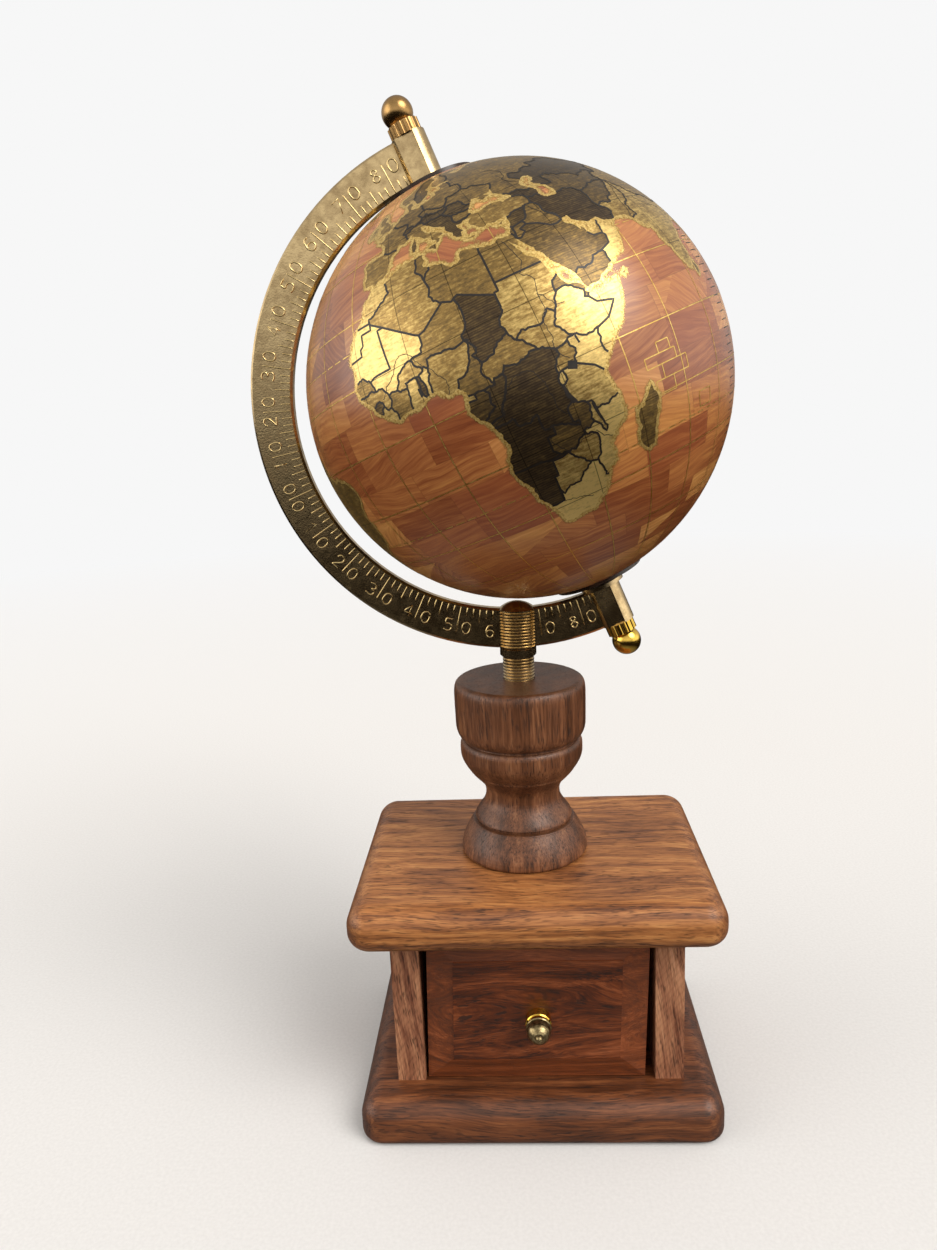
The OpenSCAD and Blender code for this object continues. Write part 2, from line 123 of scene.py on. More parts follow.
def blend(tree, share, first, second, how="MIX"):
    """Mixes two colours by a share from 0 to 1."""
    node = add(tree, "Mix", data_type="RGBA", blend_type=how)
    plug(tree, node.inputs[0], share)
    plug(tree, node.inputs[6], first)
    plug(tree, node.inputs[7], second)
    return node.outputs[2]


def ramp(tree, value, stops):
    """A colour ramp from (place, hex code) pairs."""
    node = add(tree, "ValToRGB", {"Fac": value})
    band = node.color_ramp
    while len(band.elements) < len(stops):
        band.elements.new(0.5)
    for element, (place, code) in zip(band.elements, stops):
        element.position = place
        element.color = tint(code)
    return node.outputs[0]


def spread(tree, value, low, high, out_low=0.0, out_high=1.0):
    """Stretches a value from one range to another, with ends that don't run over."""
    node = add(tree, "MapRange", {"Value": value, "From Min": low, "From Max": high})
    plug(tree, node.inputs["To Min"], out_low)
    plug(tree, node.inputs["To Max"], out_high)
    return node.outputs[0]


def grain_noise(tree, vector, scale, detail=2.0, roughness=0.5, distortion=0.0):
    """A Noise Texture's plain value."""
    inputs = {"Vector": vector, "Scale": scale, "Detail": detail}
    inputs.update({"Roughness": roughness, "Distortion": distortion})
    return add(tree, "TexNoise", inputs).outputs["Fac"]


def new_group(name, inputs, outputs):
    """An empty shader node group with named sockets: its tree, its inputs and a way out."""
    tree = bpy.data.node_groups.new(name, "ShaderNodeTree")
    kinds = {"v": "NodeSocketVector", "f": "NodeSocketFloat", "c": "NodeSocketColor"}
    for label, kind in inputs.items():
        tree.interface.new_socket(label, in_out="INPUT", socket_type=kinds[kind])
    for label, kind in outputs.items():
        tree.interface.new_socket(label, in_out="OUTPUT", socket_type=kinds[kind])
    entry = tree.nodes.new("NodeGroupInput")
    leave = tree.nodes.new("NodeGroupOutput")
    return tree, entry.outputs, leave.inputs


def place_group(tree, group, inputs):
    """Puts a node group in a tree with its own values, and gives its outputs."""
    node = tree.nodes.new("ShaderNodeGroup")
    node.node_tree = group
    for name, value in inputs.items():
        plug(tree, node.inputs[name], value)
    return node.outputs


def new_material(name):
    """A material with one Principled shader: the material, its tree and the shader."""
    material = bpy.data.materials.new(name)
    material.use_nodes = True
    tree = material.node_tree
    tree.nodes.clear()
    shader = add(tree, "BsdfPrincipled")
    output = add(tree, "OutputMaterial")
    tree.links.new(shader.outputs[0], output.inputs["Surface"])
    return material, tree, shader


def bumped(tree, shader, height, strength, distance):
    """Feeds a height through a Bump node into the shader's normal."""
    inputs = {"Height": height, "Strength": strength, "Distance": distance}
    plug(tree, shader.inputs["Normal"], add(tree, "Bump", inputs).outputs[0])


def own_place(tree):
    """Coordinates that stay with the object, in metres."""
    return add(tree, "TexCoord").outputs["Object"]


def finish_node(node_name, material):
    """Gives a solid one finish."""
    slots = frame["nodes"][node_name].data.materials
    slots.clear()
    slots.append(material)


# %% [markdown]
# ## The camera
#
# The camera stands half an arm's length in front, a little above the post, and looks down at
# about thirteen degrees. Its lens is wide, as on a phone held close, so the globe looks large and
# the case narrows away below it. The rotation is built from three directions: where it looks, what
# is to its right, and what is up.

# %% Camera
LENS_MM = 26.3546
PITCH_DOWN, YAW, ROLL = (math.radians(a) for a in (13.109, -3.18, -2.62))
camera_at = Vector((-2.288, -288.008, 226.821)) * MM

look = Vector((math.sin(YAW) * math.cos(PITCH_DOWN), math.cos(YAW) * math.cos(PITCH_DOWN), 0))
look.z = -math.sin(PITCH_DOWN)
level = look.cross(Vector((0, 0, 1))).normalized()
upward = level.cross(look)
side = level * math.cos(ROLL) + upward * math.sin(ROLL)
top = upward * math.cos(ROLL) - level * math.sin(ROLL)
camera_data = bpy.data.cameras.new("camera")
camera_data.lens = LENS_MM
camera_data.sensor_width = 36
camera_data.clip_start = 0.01
camera = bpy.data.objects.new("camera", camera_data)
turn = Matrix((side, top, -look)).transposed()
camera.matrix_world = Matrix.Translation(camera_at) @ turn.to_4x4()
bpy.context.scene.collection.objects.link(camera)
bpy.context.scene.camera = camera
bpy.context.scene.view_settings.view_transform = "Standard"
print("camera", round((centre - camera_at).length / MM), "mm from the globe's centre")

# %% [markdown]
# ## The studio
#
# Polished brass and a varnished globe show the room more than themselves, so the room matters as
# much as the materials. It is a soft one: a pale ceiling and walls, one large window high on the
# right, a low window on the left, a weak glow low on the right, and a dark patch low in front,
# where a person sits in the way of the light. The world shader paints all of it by direction. What
# the camera sees behind the object stays a plain pale tone, through the Light Path node.

# %% World
PALE = 0.93
KEY_LIGHT, WINDOW_LIGHT, FILL_LIGHT = 6.5, 2.0, 0.7
LAP_LEFT = 0.03


def direction_patch(tree, heading, azimuth, height, inner, outer):
    """1 inside a round patch of the sky, 0 outside it. Azimuth 0 is the front, + is right."""
    a, h = math.radians(azimuth), math.radians(height)
    aim = (math.sin(a) * math.cos(h), -math.cos(a) * math.cos(h), math.sin(h))
    near = add(tree, "VectorMath", operation="DOT_PRODUCT")
    plug(tree, near.inputs[0], heading)
    plug(tree, near.inputs[1], aim)
    limits = [math.cos(math.radians(x)) for x in (outer, inner)]
    return spread(tree, near.outputs["Value"], *limits)


world = bpy.data.worlds.new("soft_studio")
bpy.context.scene.world = world
world.use_nodes = True
tree = world.node_tree
tree.nodes.clear()
heading = arrow(tree, "NORMALIZE", add(tree, "TexCoord").outputs["Generated"])
split = add(tree, "SeparateXYZ", {"Vector": heading})
base = spread(tree, split.outputs["Z"], -0.10, 0.12, 0.22, 1.05)
ceiling = spread(tree, split.outputs["Z"], 0.25, 0.70, 1.0, 0.65)
behind = spread(tree, split.outputs["Y"], 0.2, 0.9, 1.0, 0.5)
base = calc(tree, "MULTIPLY", calc(tree, "MULTIPLY", base, ceiling), behind)
key = direction_patch(tree, heading, 52, 44, 13, 24)
fill = direction_patch(tree, heading, 78, -2, 14, 40)
window = direction_patch(tree, heading, -76, 14, 12, 34)
facing = spread(tree, split.outputs["Y"], -0.94, -0.60, 1.0, 0.0)
low_down = spread(tree, split.outputs["Z"], -0.17, 0.19, 1.0, 0.0)
lap = calc(tree, "MULTIPLY", facing, low_down)
level_light = calc(tree, "MULTIPLY_ADD", key, KEY_LIGHT, base)
level_light = calc(tree, "MULTIPLY_ADD", window, WINDOW_LIGHT, level_light)
level_light = calc(tree, "MULTIPLY_ADD", fill, FILL_LIGHT, level_light)
kept = spread(tree, lap, 0.0, 1.0, 1.0, LAP_LEFT)
level_light = calc(tree, "MULTIPLY", level_light, kept)
room = add(tree, "Background", {"Color": tint("#fffaf3"), "Strength": level_light})
plain = add(tree, "Background", {"Color": (PALE, PALE, PALE, 1), "Strength": 1.0})
chosen = add(tree, "MixShader", {"Fac": add(tree, "LightPath").outputs["Is Camera Ray"]})
tree.links.new(room.outputs[0], chosen.inputs[1])
tree.links.new(plain.outputs[0], chosen.inputs[2])
world_out = add(tree, "OutputWorld")
tree.links.new(chosen.outputs[0], world_out.inputs["Surface"])

# %% [markdown]
# ## The floor
#
# A plain round sheet lies under the case. Far from the object it changes into the backdrop's own
# tone, so there is no horizon line. In reflections it gets darker with distance, as a real table
# top does where no lamp reaches it, and that gives the brass its dark half. The light that it
# throws back up is weak too, so the undersides stay as dark as they are on a wooden table.

# %% Floor
FLOOR_RADIUS = 6.0
bpy.ops.mesh.primitive_circle_add(vertices=96, radius=FLOOR_RADIUS, fill_type="NGON")
floor = bpy.context.object
floor.name = "floor"
material, tree, shader = new_material("pale_paper")
distance = add(tree, "VectorMath", {0: own_place(tree)}, operation="LENGTH").outputs["Value"]
paper = grain_noise(tree, own_place(tree), 900.0, 3.0)
plug(tree, shader.inputs["Base Color"], ramp(tree, paper, [(0.3, "#d9d9da"), (0.7, "#e0e0e1")]))
shader.inputs["Roughness"].default_value = 0.85
bumped(tree, shader, paper, 0.15, 0.0002)
backdrop = add(tree, "Emission", {"Color": (PALE, PALE, PALE, 1), "Strength": 1.0})
shade = add(tree, "Emission", {"Color": tint("#2b231c"), "Strength": 0.5})
rays = add(tree, "LightPath").outputs
far = spread(tree, distance, 0.35, 1.4)
mirrored = spread(tree, distance, 0.02, 0.25, 0.55, 1.0)
gloss_far = calc(tree, "MULTIPLY", mirrored, rays["Is Glossy Ray"])
seen_far = calc(tree, "MULTIPLY", far, rays["Is Camera Ray"])
first_mix = add(tree, "MixShader", {"Fac": seen_far})
tree.links.new(shader.outputs[0], first_mix.inputs[1])
tree.links.new(backdrop.outputs[0], first_mix.inputs[2])
bounce = add(tree, "BsdfDiffuse", {"Color": tint("#6b655e")})
dull_mix = add(tree, "MixShader", {"Fac": rays["Is Diffuse Ray"]})
tree.links.new(first_mix.outputs[0], dull_mix.inputs[1])
tree.links.new(bounce.outputs[0], dull_mix.inputs[2])
second_mix = add(tree, "MixShader", {"Fac": gloss_far})
tree.links.new(dull_mix.outputs[0], second_mix.inputs[1])
tree.links.new(shade.outputs[0], second_mix.inputs[2])
out_node = next(n for n in tree.nodes if n.type == "OUTPUT_MATERIAL")
tree.links.new(second_mix.outputs[0], out_node.inputs["Surface"])
floor.data.materials.append(material)

# %% [markdown]
# ## Wood
#
# The case, slabs and post are a brown hardwood with a satin oil finish. A board's figure comes from
# its growth rings: a saw cuts through them at a flat angle, so they show as long arches and streaks.
# Among them lie short dark pores, dashes and fine fibres, all running the same way. One node group
# makes the figure for every board. It expects X along the grain, and each board turns and shifts its
# own coordinates first, so no two boards show the same piece of the tree.

# %% Wood figure group
group, enter, leave = new_group(
    "wood_figure",
    {"Vector": "v", "Ring Scale": "f", "Wobble": "f", "Curl": "f"},
    {"Tone": "f", "Streak": "f", "Pores": "f", "Height": "f"},
)
wood_figure = group
slow = arrow(group, "MULTIPLY", enter["Vector"], (9.0, 40.0, 40.0))
drift = add(group, "TexNoise", {"Vector": slow, "Scale": 1.0, "Detail": 2.0})
push = arrow(group, "SUBTRACT", drift.outputs["Color"], (0.5, 0.5, 0.5))
amount = add(group, "VectorMath", operation="SCALE")
plug(group, amount.inputs[0], push)
plug(group, amount.inputs["Scale"], enter["Wobble"])
bent = arrow(group, "ADD", enter["Vector"], arrow(group, "MULTIPLY", amount.outputs[0], (0, 1, 1)))
rings = add(
    group,
    "TexWave",
    {"Vector": arrow(group, "MULTIPLY", bent, (0.12, 1.0, 1.0)), "Scale": enter["Ring Scale"]},
    wave_type="RINGS",
    rings_direction="X",
    wave_profile="SIN",
)
plug(group, rings.inputs["Distortion"], enter["Curl"])
rings.inputs["Detail"].default_value = 3.0
rings.inputs["Detail Scale"].default_value = 1.6
streak = grain_noise(group, arrow(group, "MULTIPLY", bent, (22.0, 260.0, 260.0)), 1.0, 4.0, 0.62, 0.4)
fibre = grain_noise(group, arrow(group, "MULTIPLY", bent, (90.0, 2400.0, 2400.0)), 1.0, 3.0, 0.6)
pore = grain_noise(group, arrow(group, "MULTIPLY", bent, (230.0, 2300.0, 2300.0)), 1.0, 1.0, 0.5)
pores = spread(group, pore, 0.55, 0.66)
cluster = spread(group, streak, 0.35, 0.62, 1.0, 0.35)
pores = calc(group, "MULTIPLY", pores, cluster)
tone = calc(group, "MULTIPLY", rings.outputs["Fac"], 0.16)
dash = grain_noise(group, arrow(group, "MULTIPLY", bent, (60.0, 1300.0, 1300.0)), 1.0, 3.0, 0.6)
tone = calc(group, "MULTIPLY_ADD", spread(group, streak, 0.28, 0.72), 0.30, tone)
tone = calc(group, "MULTIPLY_ADD", spread(group, dash, 0.28, 0.72), 0.30, tone)
tone = calc(group, "MULTIPLY_ADD", spread(group, fibre, 0.25, 0.75), 0.24, tone)
plug(group, leave["Tone"], tone)
plug(group, leave["Streak"], streak)
plug(group, leave["Pores"], pores)
height = calc(group, "MULTIPLY_ADD", pores, -0.8, calc(group, "MULTIPLY", fibre, 0.45))
plug(group, leave["Height"], height)

# %% [markdown]
# ## One material a board
#
# Each kind of board sets the grain's direction, where the tree's middle was, and four tones, from
# the dark late wood to the pale early wood. A large soft patchiness stands for hand rubbing. Ends of
# a board drink more oil, so they are darker. Sloping faces can be painted paler: partly rubbed wear,
# partly a painted highlight on the bevels. The finish is thicker between the pores, so roughness
# follows the figure, and the pores are pressed in with a bump.

# %% Board materials
PORE_BROWN = "#1d0f08"
TONE_PLACES = (0.25, 0.44, 0.59, 0.79)
GRAIN_TURN = {"x": (0, 0, 0), "y": (0, 0, -math.pi / 2), "z": (0, math.pi / 2, 0)}


def board(
    name, grain, shift, tones, rings, wobble, curl, skew=0.0, gloss=0.42, saw=0.0, bevel_wear_and_highlight=0.0
):
    """A wood material. Skew turns the grain a little on the board's face, in degrees."""
    material, tree, shader = new_material(name)
    turn = list(GRAIN_TURN[grain])
    turn[1] += math.radians(skew)
    place = add(tree, "Mapping", {"Vector": own_place(tree), "Rotation": turn, "Location": shift})
    inputs = {"Vector": place.outputs[0], "Ring Scale": rings, "Wobble": wobble, "Curl": curl}
    figure = place_group(tree, wood_figure, inputs)
    patch = grain_noise(tree, place.outputs[0], 28.0, 2.0, 0.5)
    tone = calc(tree, "MULTIPLY_ADD", calc(tree, "SUBTRACT", patch, 0.5), 0.4, figure["Tone"])
    colour = ramp(tree, tone, list(zip(TONE_PLACES, tones)))
    colour = blend(tree, calc(tree, "MULTIPLY", figure["Pores"], 0.8), colour, tint(PORE_BROWN))
    facing = add(tree, "SeparateXYZ", {"Vector": add(tree, "TexCoord").outputs["Normal"]})
    end_face = spread(tree, calc(tree, "ABSOLUTE", facing.outputs[grain.upper()]), 0.3, 0.9)
    colour = blend(tree, calc(tree, "MULTIPLY", end_face, 0.6), colour, tint(tones[0]))
    # Faces that slope away from the front are painted paler: partly rubbed wear, partly a painted
    # highlight on the bevels.
    if bevel_wear_and_highlight:
        upright = calc(tree, "ABSOLUTE", facing.outputs["Y"])
        sloping_wear_and_highlight = spread(tree, upright, 0.92, 0.998, bevel_wear_and_highlight, 0.0)
        colour = blend(tree, sloping_wear_and_highlight, colour, tint(tones[3]))
    height = figure["Height"]
    if saw:
        marks = add(tree, "TexWave", {"Vector": place.outputs[0], "Scale": 260.0})
        marks.bands_direction = "DIAGONAL"
        plug(tree, marks.inputs["Distortion"], 1.5)
        mark = calc(tree, "MULTIPLY", marks.outputs["Fac"], saw)
        height = calc(tree, "ADD", height, mark)
        shade = spread(tree, marks.outputs["Fac"], 0.0, 0.6, 0.86, 1.0)
        colour = blend(tree, 1.0, colour, shade, "MULTIPLY")
    plug(tree, shader.inputs["Base Color"], colour)
    rough = calc(tree, "MULTIPLY_ADD", figure["Streak"], 0.22, gloss - 0.1)
    rough = calc(tree, "MULTIPLY_ADD", figure["Pores"], 0.25, rough)
    plug(tree, shader.inputs["Roughness"], rough)
    shader.inputs["Specular IOR Level"].default_value = 0.42
    shader.inputs["Coat Weight"].default_value = 0.12
    shader.inputs["Coat Roughness"].default_value = 0.3
    bumped(tree, shader, height, 0.5, 0.00012)
    return material


GOLDEN = ("#633920", "#8f5930", "#aa6f3e", "#c38a52")
DARK = ("#33190a", "#532d17", "#6b3c20", "#88532f")
RAW = ("#6c3d28", "#986448", "#b17c5a", "#cb9775")
TURNED = ("#40230f", "#5e3821", "#75492e", "#936443")
RED = ("#2c1206", "#52240b", "#713717", "#93512e")
PALE_BOX = ("#a98358", "#c6a070", "#d6b484", "#e2c79c")
golden_wood = board("golden_wood", "x", (0.04, 0.05, 0.034), GOLDEN, 90.0, 0.02, 3.0)
dark_wood = board("dark_wood", "x", (0.11, -0.02, 0.051), DARK, 85.0, 0.016, 3.0)
wall_wood = board(
    "wall_wood", "z", (0.02, 0.07, 0.03), RAW, 60.0, 0.01, 2.5, skew=9.0, gloss=0.55, saw=0.5
)
post_wood = board("post_wood", "z", (0.0, 0.013, 0.021), TURNED, 40.0, 0.008, 2.5)
front_wood = board("front_wood", "x", (0.07, -0.03, 0.013), RED, 62.0, 0.034, 5.0, bevel_wear_and_highlight=0.75)
pale_wood = board("pale_wood", "y", (0.01, 0.02, 0.06), PALE_BOX, 90.0, 0.01, 2.0, gloss=0.6)
WOOD_NODES = {
    "bottom_slab": dark_wood,
    "left_wall": wall_wood,
    "right_wall": wall_wood,
    "back_panel": wall_wood,
    "top_slab": golden_wood,
    "turned_post": post_wood,
    "drawer_front": front_wood,
    "top_dowels": pale_wood,
    "drawer_left_side": pale_wood,
    "drawer_right_side": pale_wood,
    "drawer_back": pale_wood,
    "drawer_bottom": pale_wood,
}
for node_name, material in WOOD_NODES.items():
    finish_node(node_name, material)

# %% [markdown]
# ## Brass and steel
#
# The ring is cast and lightly plated, so its skin is a little grainy, bright where hands rub it and
# brown where polish was never wiped out. The small turned parts are smoother. A group gives the
# grain and the tarnish, and each metal part sets how much of both it shows.

# %% Metal skin group
group, enter, leave = new_group(
    "metal_skin",
    {"Vector": "v", "Grain Scale": "f", "Tarnish": "f"},
    {"Tarnish": "f", "Height": "f"},
)
metal_skin = group
fine = add(group, "TexNoise", {"Vector": enter["Vector"], "Scale": enter["Grain Scale"], "Detail": 3.0})
cloud = grain_noise(group, enter["Vector"], 60.0, 4.0, 0.6, 0.5)
mist = grain_noise(group, enter["Vector"], 420.0, 3.0, 0.6)
dirty = calc(group, "MULTIPLY_ADD", calc(group, "SUBTRACT", mist, 0.5), 0.8, cloud)
dirty = calc(group, "MULTIPLY", spread(group, dirty, 0.35, 0.75), enter["Tarnish"])
plug(group, leave["Tarnish"], dirty)
plug(group, leave["Height"], calc(group, "MULTIPLY_ADD", cloud, 0.3, fine.outputs["Fac"]))


# %% Metal materials
def metal(name, bright, dull, rough, grain=2600.0, tarnish=0.5, dent=0.2):
    """A metal that runs from a bright colour to a dull one where it is tarnished."""
    material, tree, shader = new_material(name)
    inputs = {"Vector": own_place(tree), "Grain Scale": grain, "Tarnish": tarnish}
    skin = place_group(tree, metal_skin, inputs)
    plug(tree, shader.inputs["Base Color"], blend(tree, skin["Tarnish"], tint(bright), tint(dull)))
    shader.inputs["Metallic"].default_value = 1.0
    rough_now = calc(tree, "MULTIPLY_ADD", skin["Tarnish"], 0.25, rough)
    plug(tree, shader.inputs["Roughness"], rough_now)
    bumped(tree, shader, skin["Height"], dent, 0.0001)
    return material


cast_brass = metal("cast_brass", "#d2ba8c", "#75593a", 0.17, 1900.0, 0.55, 0.35)
turned_brass = metal("turned_brass", "#c4ad84", "#665038", 0.18, 2600.0, 0.5, 0.15)
ball_bronze = metal("ball_bronze", "#b4905c", "#5c4226", 0.2, 2600.0, 0.5, 0.12)
gilt_brass = metal("gilt_brass", "#e8c25a", "#a8742a", 0.16, 2600.0, 0.4, 0.1)
plain_steel = metal("plain_steel", "#b9b6b0", "#6e655a", 0.28, 3000.0, 0.5, 0.1)

# %% [markdown]
# ## The knob
#
# The knob looks turned from one rod, with its end left dull and its collar polished. One material
# does both, because the change follows the knob's length: the drawer is at its high Y end.

# %% Knob
knob_brass, tree, shader = new_material("knob_brass")
knob_low, knob_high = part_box("drawer_knob")
along_knob = add(tree, "SeparateXYZ", {"Vector": own_place(tree)}).outputs["Y"]
collar = (knob_low.y * 0.45 + knob_high.y * 0.55, knob_low.y * 0.38 + knob_high.y * 0.62)
dull_end = spread(tree, along_knob, *collar, 1.0, 0.0)
rubbed = grain_noise(tree, own_place(tree), 900.0, 3.0)
bronze = ramp(tree, rubbed, [(0.35, "#6a5a3e"), (0.65, "#a8976f")])
plug(tree, shader.inputs["Base Color"], blend(tree, dull_end, tint("#e0b94e"), bronze))
plug(tree, shader.inputs["Roughness"], spread(tree, dull_end, 0.0, 1.0, 0.15, 0.3))
shader.inputs["Metallic"].default_value = 1.0
bumped(tree, shader, rubbed, 0.2, 0.00005)

# %% Which solid has which metal
METAL_NODES = {
    "meridian_arc": cast_brass,
    "threaded_stem": turned_brass,
    "lock_nut": turned_brass,
    "top_ball_nut": ball_bronze,
    "bottom_ball_nut": gilt_brass,
    "pole_washer": turned_brass,
    "drawer_knob": knob_brass,
    "wall_screws": plain_steel,
    "post_screw": plain_steel,
    "axis_rod": plain_steel,
    "knob_screw": plain_steel,
    "drawer_nails": plain_steel,
}
for node_name, material in METAL_NODES.items():
    finish_node(node_name, material)

# %% [markdown]
# ## The scale on the ring
#
# The front of the ring carries a scale in raised lines, as a protractor does: a long line for every
# ten degrees of the scale, with its number split on both sides of it, and short lines between. The
# long lines lie a little over ten true degrees apart, as seen from the ring's own centre. On a
# casting such marks have soft round tops, because they are grooves in the mould. A text object could
# make the numbers, but its letters would be flat and sharp, so each number is drawn here as pen
# strokes, and a small ridge is swept along every stroke.

# %% Ring measurements
RING_OFFSET = 4.0 * MM
RING_SHIFT = 0.6 * MM
BAND_WIDTH = 13.0 * MM
BAND_FACE = -2.0 * MM
LABEL_STEP = math.radians(10.65)
BARREL_REACH = 6.3 * MM
ring_centre = centre - right * RING_OFFSET - axis * RING_SHIFT
ring_outer = ring_centre.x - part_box("meridian_arc")[0].x
ring_inner = ring_outer - BAND_WIDTH
zero_angle = math.pi + lean
stem_low, stem_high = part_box("threaded_stem")
stem_middle = (stem_low.x + stem_high.x) / 2
print("ring", round(ring_inner / MM, 2), "to", round(ring_outer / MM, 2), "mm from its centre")

# %% Number strokes
DIGITS = {
    "0": [".5,1 .1,.85 0,.5 .1,.15 .5,0 .9,.15 1,.5 .9,.85 .5,1"],
    "1": [".15,.72 .55,1 .55,0"],
    "2": [".05,.72 .15,.95 .5,1.02 .9,.92 .92,.62 .6,.38 .02,0 .3,.02 1,0"],
    "3": [".05,.9 .5,1.02 .95,.85 .85,.6 .4,.53 .9,.45 1,.2 .6,-.02 .02,.1"],
    "4": [".72,0 .72,1", ".72,1 0,.3 1,.3"],
    "5": [".95,1 .2,1", ".2,1 .1,.55 .5,.64 .95,.48 .95,.15 .5,-.02 .02,.1"],
    "6": [".85,.95 .45,1 .1,.7 0,.3 .25,0 .75,0 1,.3 .75,.57 .3,.57 .03,.36"],
    "7": ["0,1 1,1", "1,1 .38,0"],
    "8": [".5,.55 .1,.75 .5,1.02 .9,.75 .5,.55 0,.28 .5,-.02 1,.28 .5,.55"],
}
SHARP = "147"


def rounded(points, rounds=2):
    """Cuts the corners of a line, which keeps its ends."""
    for _ in range(rounds):
        cut = [points[0]]
        for a, b in zip(points, points[1:]):
            cut += [a.lerp(b, 0.25), a.lerp(b, 0.75)]
        points = cut + [points[-1]]
    return points


def digit_strokes(digit):
    """A digit's strokes in a box one wide and one high."""
    for line in DIGITS[digit]:
        points = [Vector((*(float(v) for v in pair.split(",")), 0)) for pair in line.split()]
        yield points if digit in SHARP else rounded(points)


# %% A ridge along a line
RIDGE_PROFILE = [(-0.5, 0.0), (-0.38, 0.62), (0.0, 1.0), (0.38, 0.62), (0.5, 0.0)]
SUNK = 0.03 * MM


def sweep_ridge(points, width, height, verts, faces):
    """Adds a round-topped ridge that follows points on the ring's front face."""
    count = len(points)
    start = len(verts)
    for i, point in enumerate(points):
        before, after = points[max(i - 1, 0)], points[min(i + 1, count - 1)]
        along = (after - before).normalized()
        across = Vector((-along.z, 0, along.x))
        end = 0.55 if i in (0, count - 1) else 1.0
        for offset, rise in RIDGE_PROFILE:
            lift = height * rise * end if rise else -SUNK
            verts.append(point + across * (offset * width * end) + Vector((0, -lift, 0)))
    size = len(RIDGE_PROFILE)
    for i in range(count - 1):
        for j in range(size - 1):
            a = start + i * size + j
            faces.append((a, a + 1, a + size + 1, a + size))
    last = start + (count - 1) * size
    faces.append(tuple(range(start, start + size))[::-1])
    faces.append(tuple(range(last, last + size)))


def mesh_piece(name, verts, faces, material, body, smooth=True):
    """Makes a mesh that rides on a body and takes its finish from a slot."""
    mesh = bpy.data.meshes.new(name)
    mesh.from_pydata([tuple(v) for v in verts], [], faces)
    if smooth:
        mesh.shade_smooth()
    mesh.materials.append(material)
    piece = bpy.data.objects.new(name, mesh)
    bpy.context.scene.collection.objects.link(piece)
    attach(piece, body)
    return piece


def on_ring(angle, radius):
    """A point on the ring's front face."""
    spot = ring_centre + Vector((math.cos(angle), 0, math.sin(angle))) * radius
    return Vector((spot.x, BAND_FACE, spot.z))


def behind_stem(spot):
    """Whether a mark would lie inside the barrel that stands on the stem."""
    return spot.z < ring_centre.z and abs(spot.x - stem_middle) < BARREL_REACH


# %% Scale lines and numbers
LINES_BETWEEN = 6
LAST_LINE = 50
LINE_REACH = {0: 9.4 * MM, 3: 5.2 * MM}
SHORT_REACH = 3.7 * MM
LINE_FROM_EDGE = 0.75 * MM
LINE_WIDE, PEN_WIDE, MARK_HIGH = 0.42 * MM, 0.5 * MM, 0.26 * MM
line_verts, line_faces = [], []
for i in range(-LAST_LINE, LAST_LINE + 1):
    angle = zero_angle - LABEL_STEP * i / LINES_BETWEEN
    reach = LINE_REACH.get(i % LINES_BETWEEN, SHORT_REACH)
    ends = [on_ring(angle, ring_inner + r) for r in (LINE_FROM_EDGE, reach)]
    if behind_stem(ends[0]):
        continue
    steps = [ends[0].lerp(ends[1], t) for t in (0, 0.06, 0.5, 0.94, 1)]
    sweep_ridge(steps, LINE_WIDE, MARK_HIGH, line_verts, line_faces)
bright_marks = metal("bright_marks", "#e6cf98", "#a88450", 0.2, 2600.0, 0.3, 0.2)
mesh_piece("scale_lines", line_verts, line_faces, bright_marks, "stand")

DIGIT_HIGH, DIGIT_WIDE, DIGIT_STAND_OFF = 4.0 * MM, 2.7 * MM, 2.95 * MM
NUMBER_RADIUS = ring_inner + 7.5 * MM
digit_verts, digit_faces = [], []
for tens in range(-8, 9):
    angle = zero_angle - LABEL_STEP * tens
    out = Vector((math.cos(angle), 0, math.sin(angle)))
    up = out if tens >= 0 else -out
    along = Vector((up.z, 0, -up.x))
    for digit, hand in ((str(abs(tens)), -1), ("0", 1)):
        middle = on_ring(angle, NUMBER_RADIUS) + along * (hand * DIGIT_STAND_OFF)
        if behind_stem(middle):
            continue
        corner = middle - along * (DIGIT_WIDE / 2) - up * (DIGIT_HIGH / 2)
        for stroke in digit_strokes(digit):
            spots = [corner + along * (p.x * DIGIT_WIDE) + up * (p.y * DIGIT_HIGH) for p in stroke]
            sweep_ridge(spots, PEN_WIDE, MARK_HIGH, digit_verts, digit_faces)
mesh_piece("scale_numbers", digit_verts, digit_faces, bright_marks, "stand")
print("scale:", len(line_faces), "faces in lines,", len(digit_faces), "in numbers")

# %% [markdown]
# ## Finding longitude and latitude on the ball
#
# Everything on the globe is laid out in degrees. In a material, a group turns the globe's own
# coordinates upright and works out the two angles. In mesh code, a function does the reverse and
# gives the point for a longitude and a latitude. Twenty-one degrees east faces the front.

# %% Globe angles
FACING_EAST = 21.0
group, enter, leave = new_group("globe_angles", {"Vector": "v"}, {"East": "f", "North": "f"})
globe_angles = group
from_centre = arrow(group, "SUBTRACT", enter["Vector"], tuple(centre))
upright = add(group, "Mapping", {"Vector": from_centre, "Rotation": (0, lean, 0)}).outputs[0]
unit = add(group, "SeparateXYZ", {"Vector": arrow(group, "NORMALIZE", upright)})
turned = calc(group, "ARCTAN2", unit.outputs["X"], calc(group, "MULTIPLY", unit.outputs["Y"], -1.0))
east = calc(group, "MULTIPLY_ADD", turned, 180 / math.pi, FACING_EAST)
north = calc(group, "MULTIPLY", calc(group, "ARCSINE", unit.outputs["Z"]), 180 / math.pi)
plug(group, leave["East"], east)
plug(group, leave["North"], north)


def on_globe(east, north, lift=0.0):
    """The point at a longitude and latitude in degrees, lifted off the ball."""
    e, n = math.radians(east - FACING_EAST), math.radians(north)
    level = front * math.cos(e) + right * math.sin(e)
    return centre + (axis * math.sin(n) + level * math.cos(n)) * (globe_radius + lift)


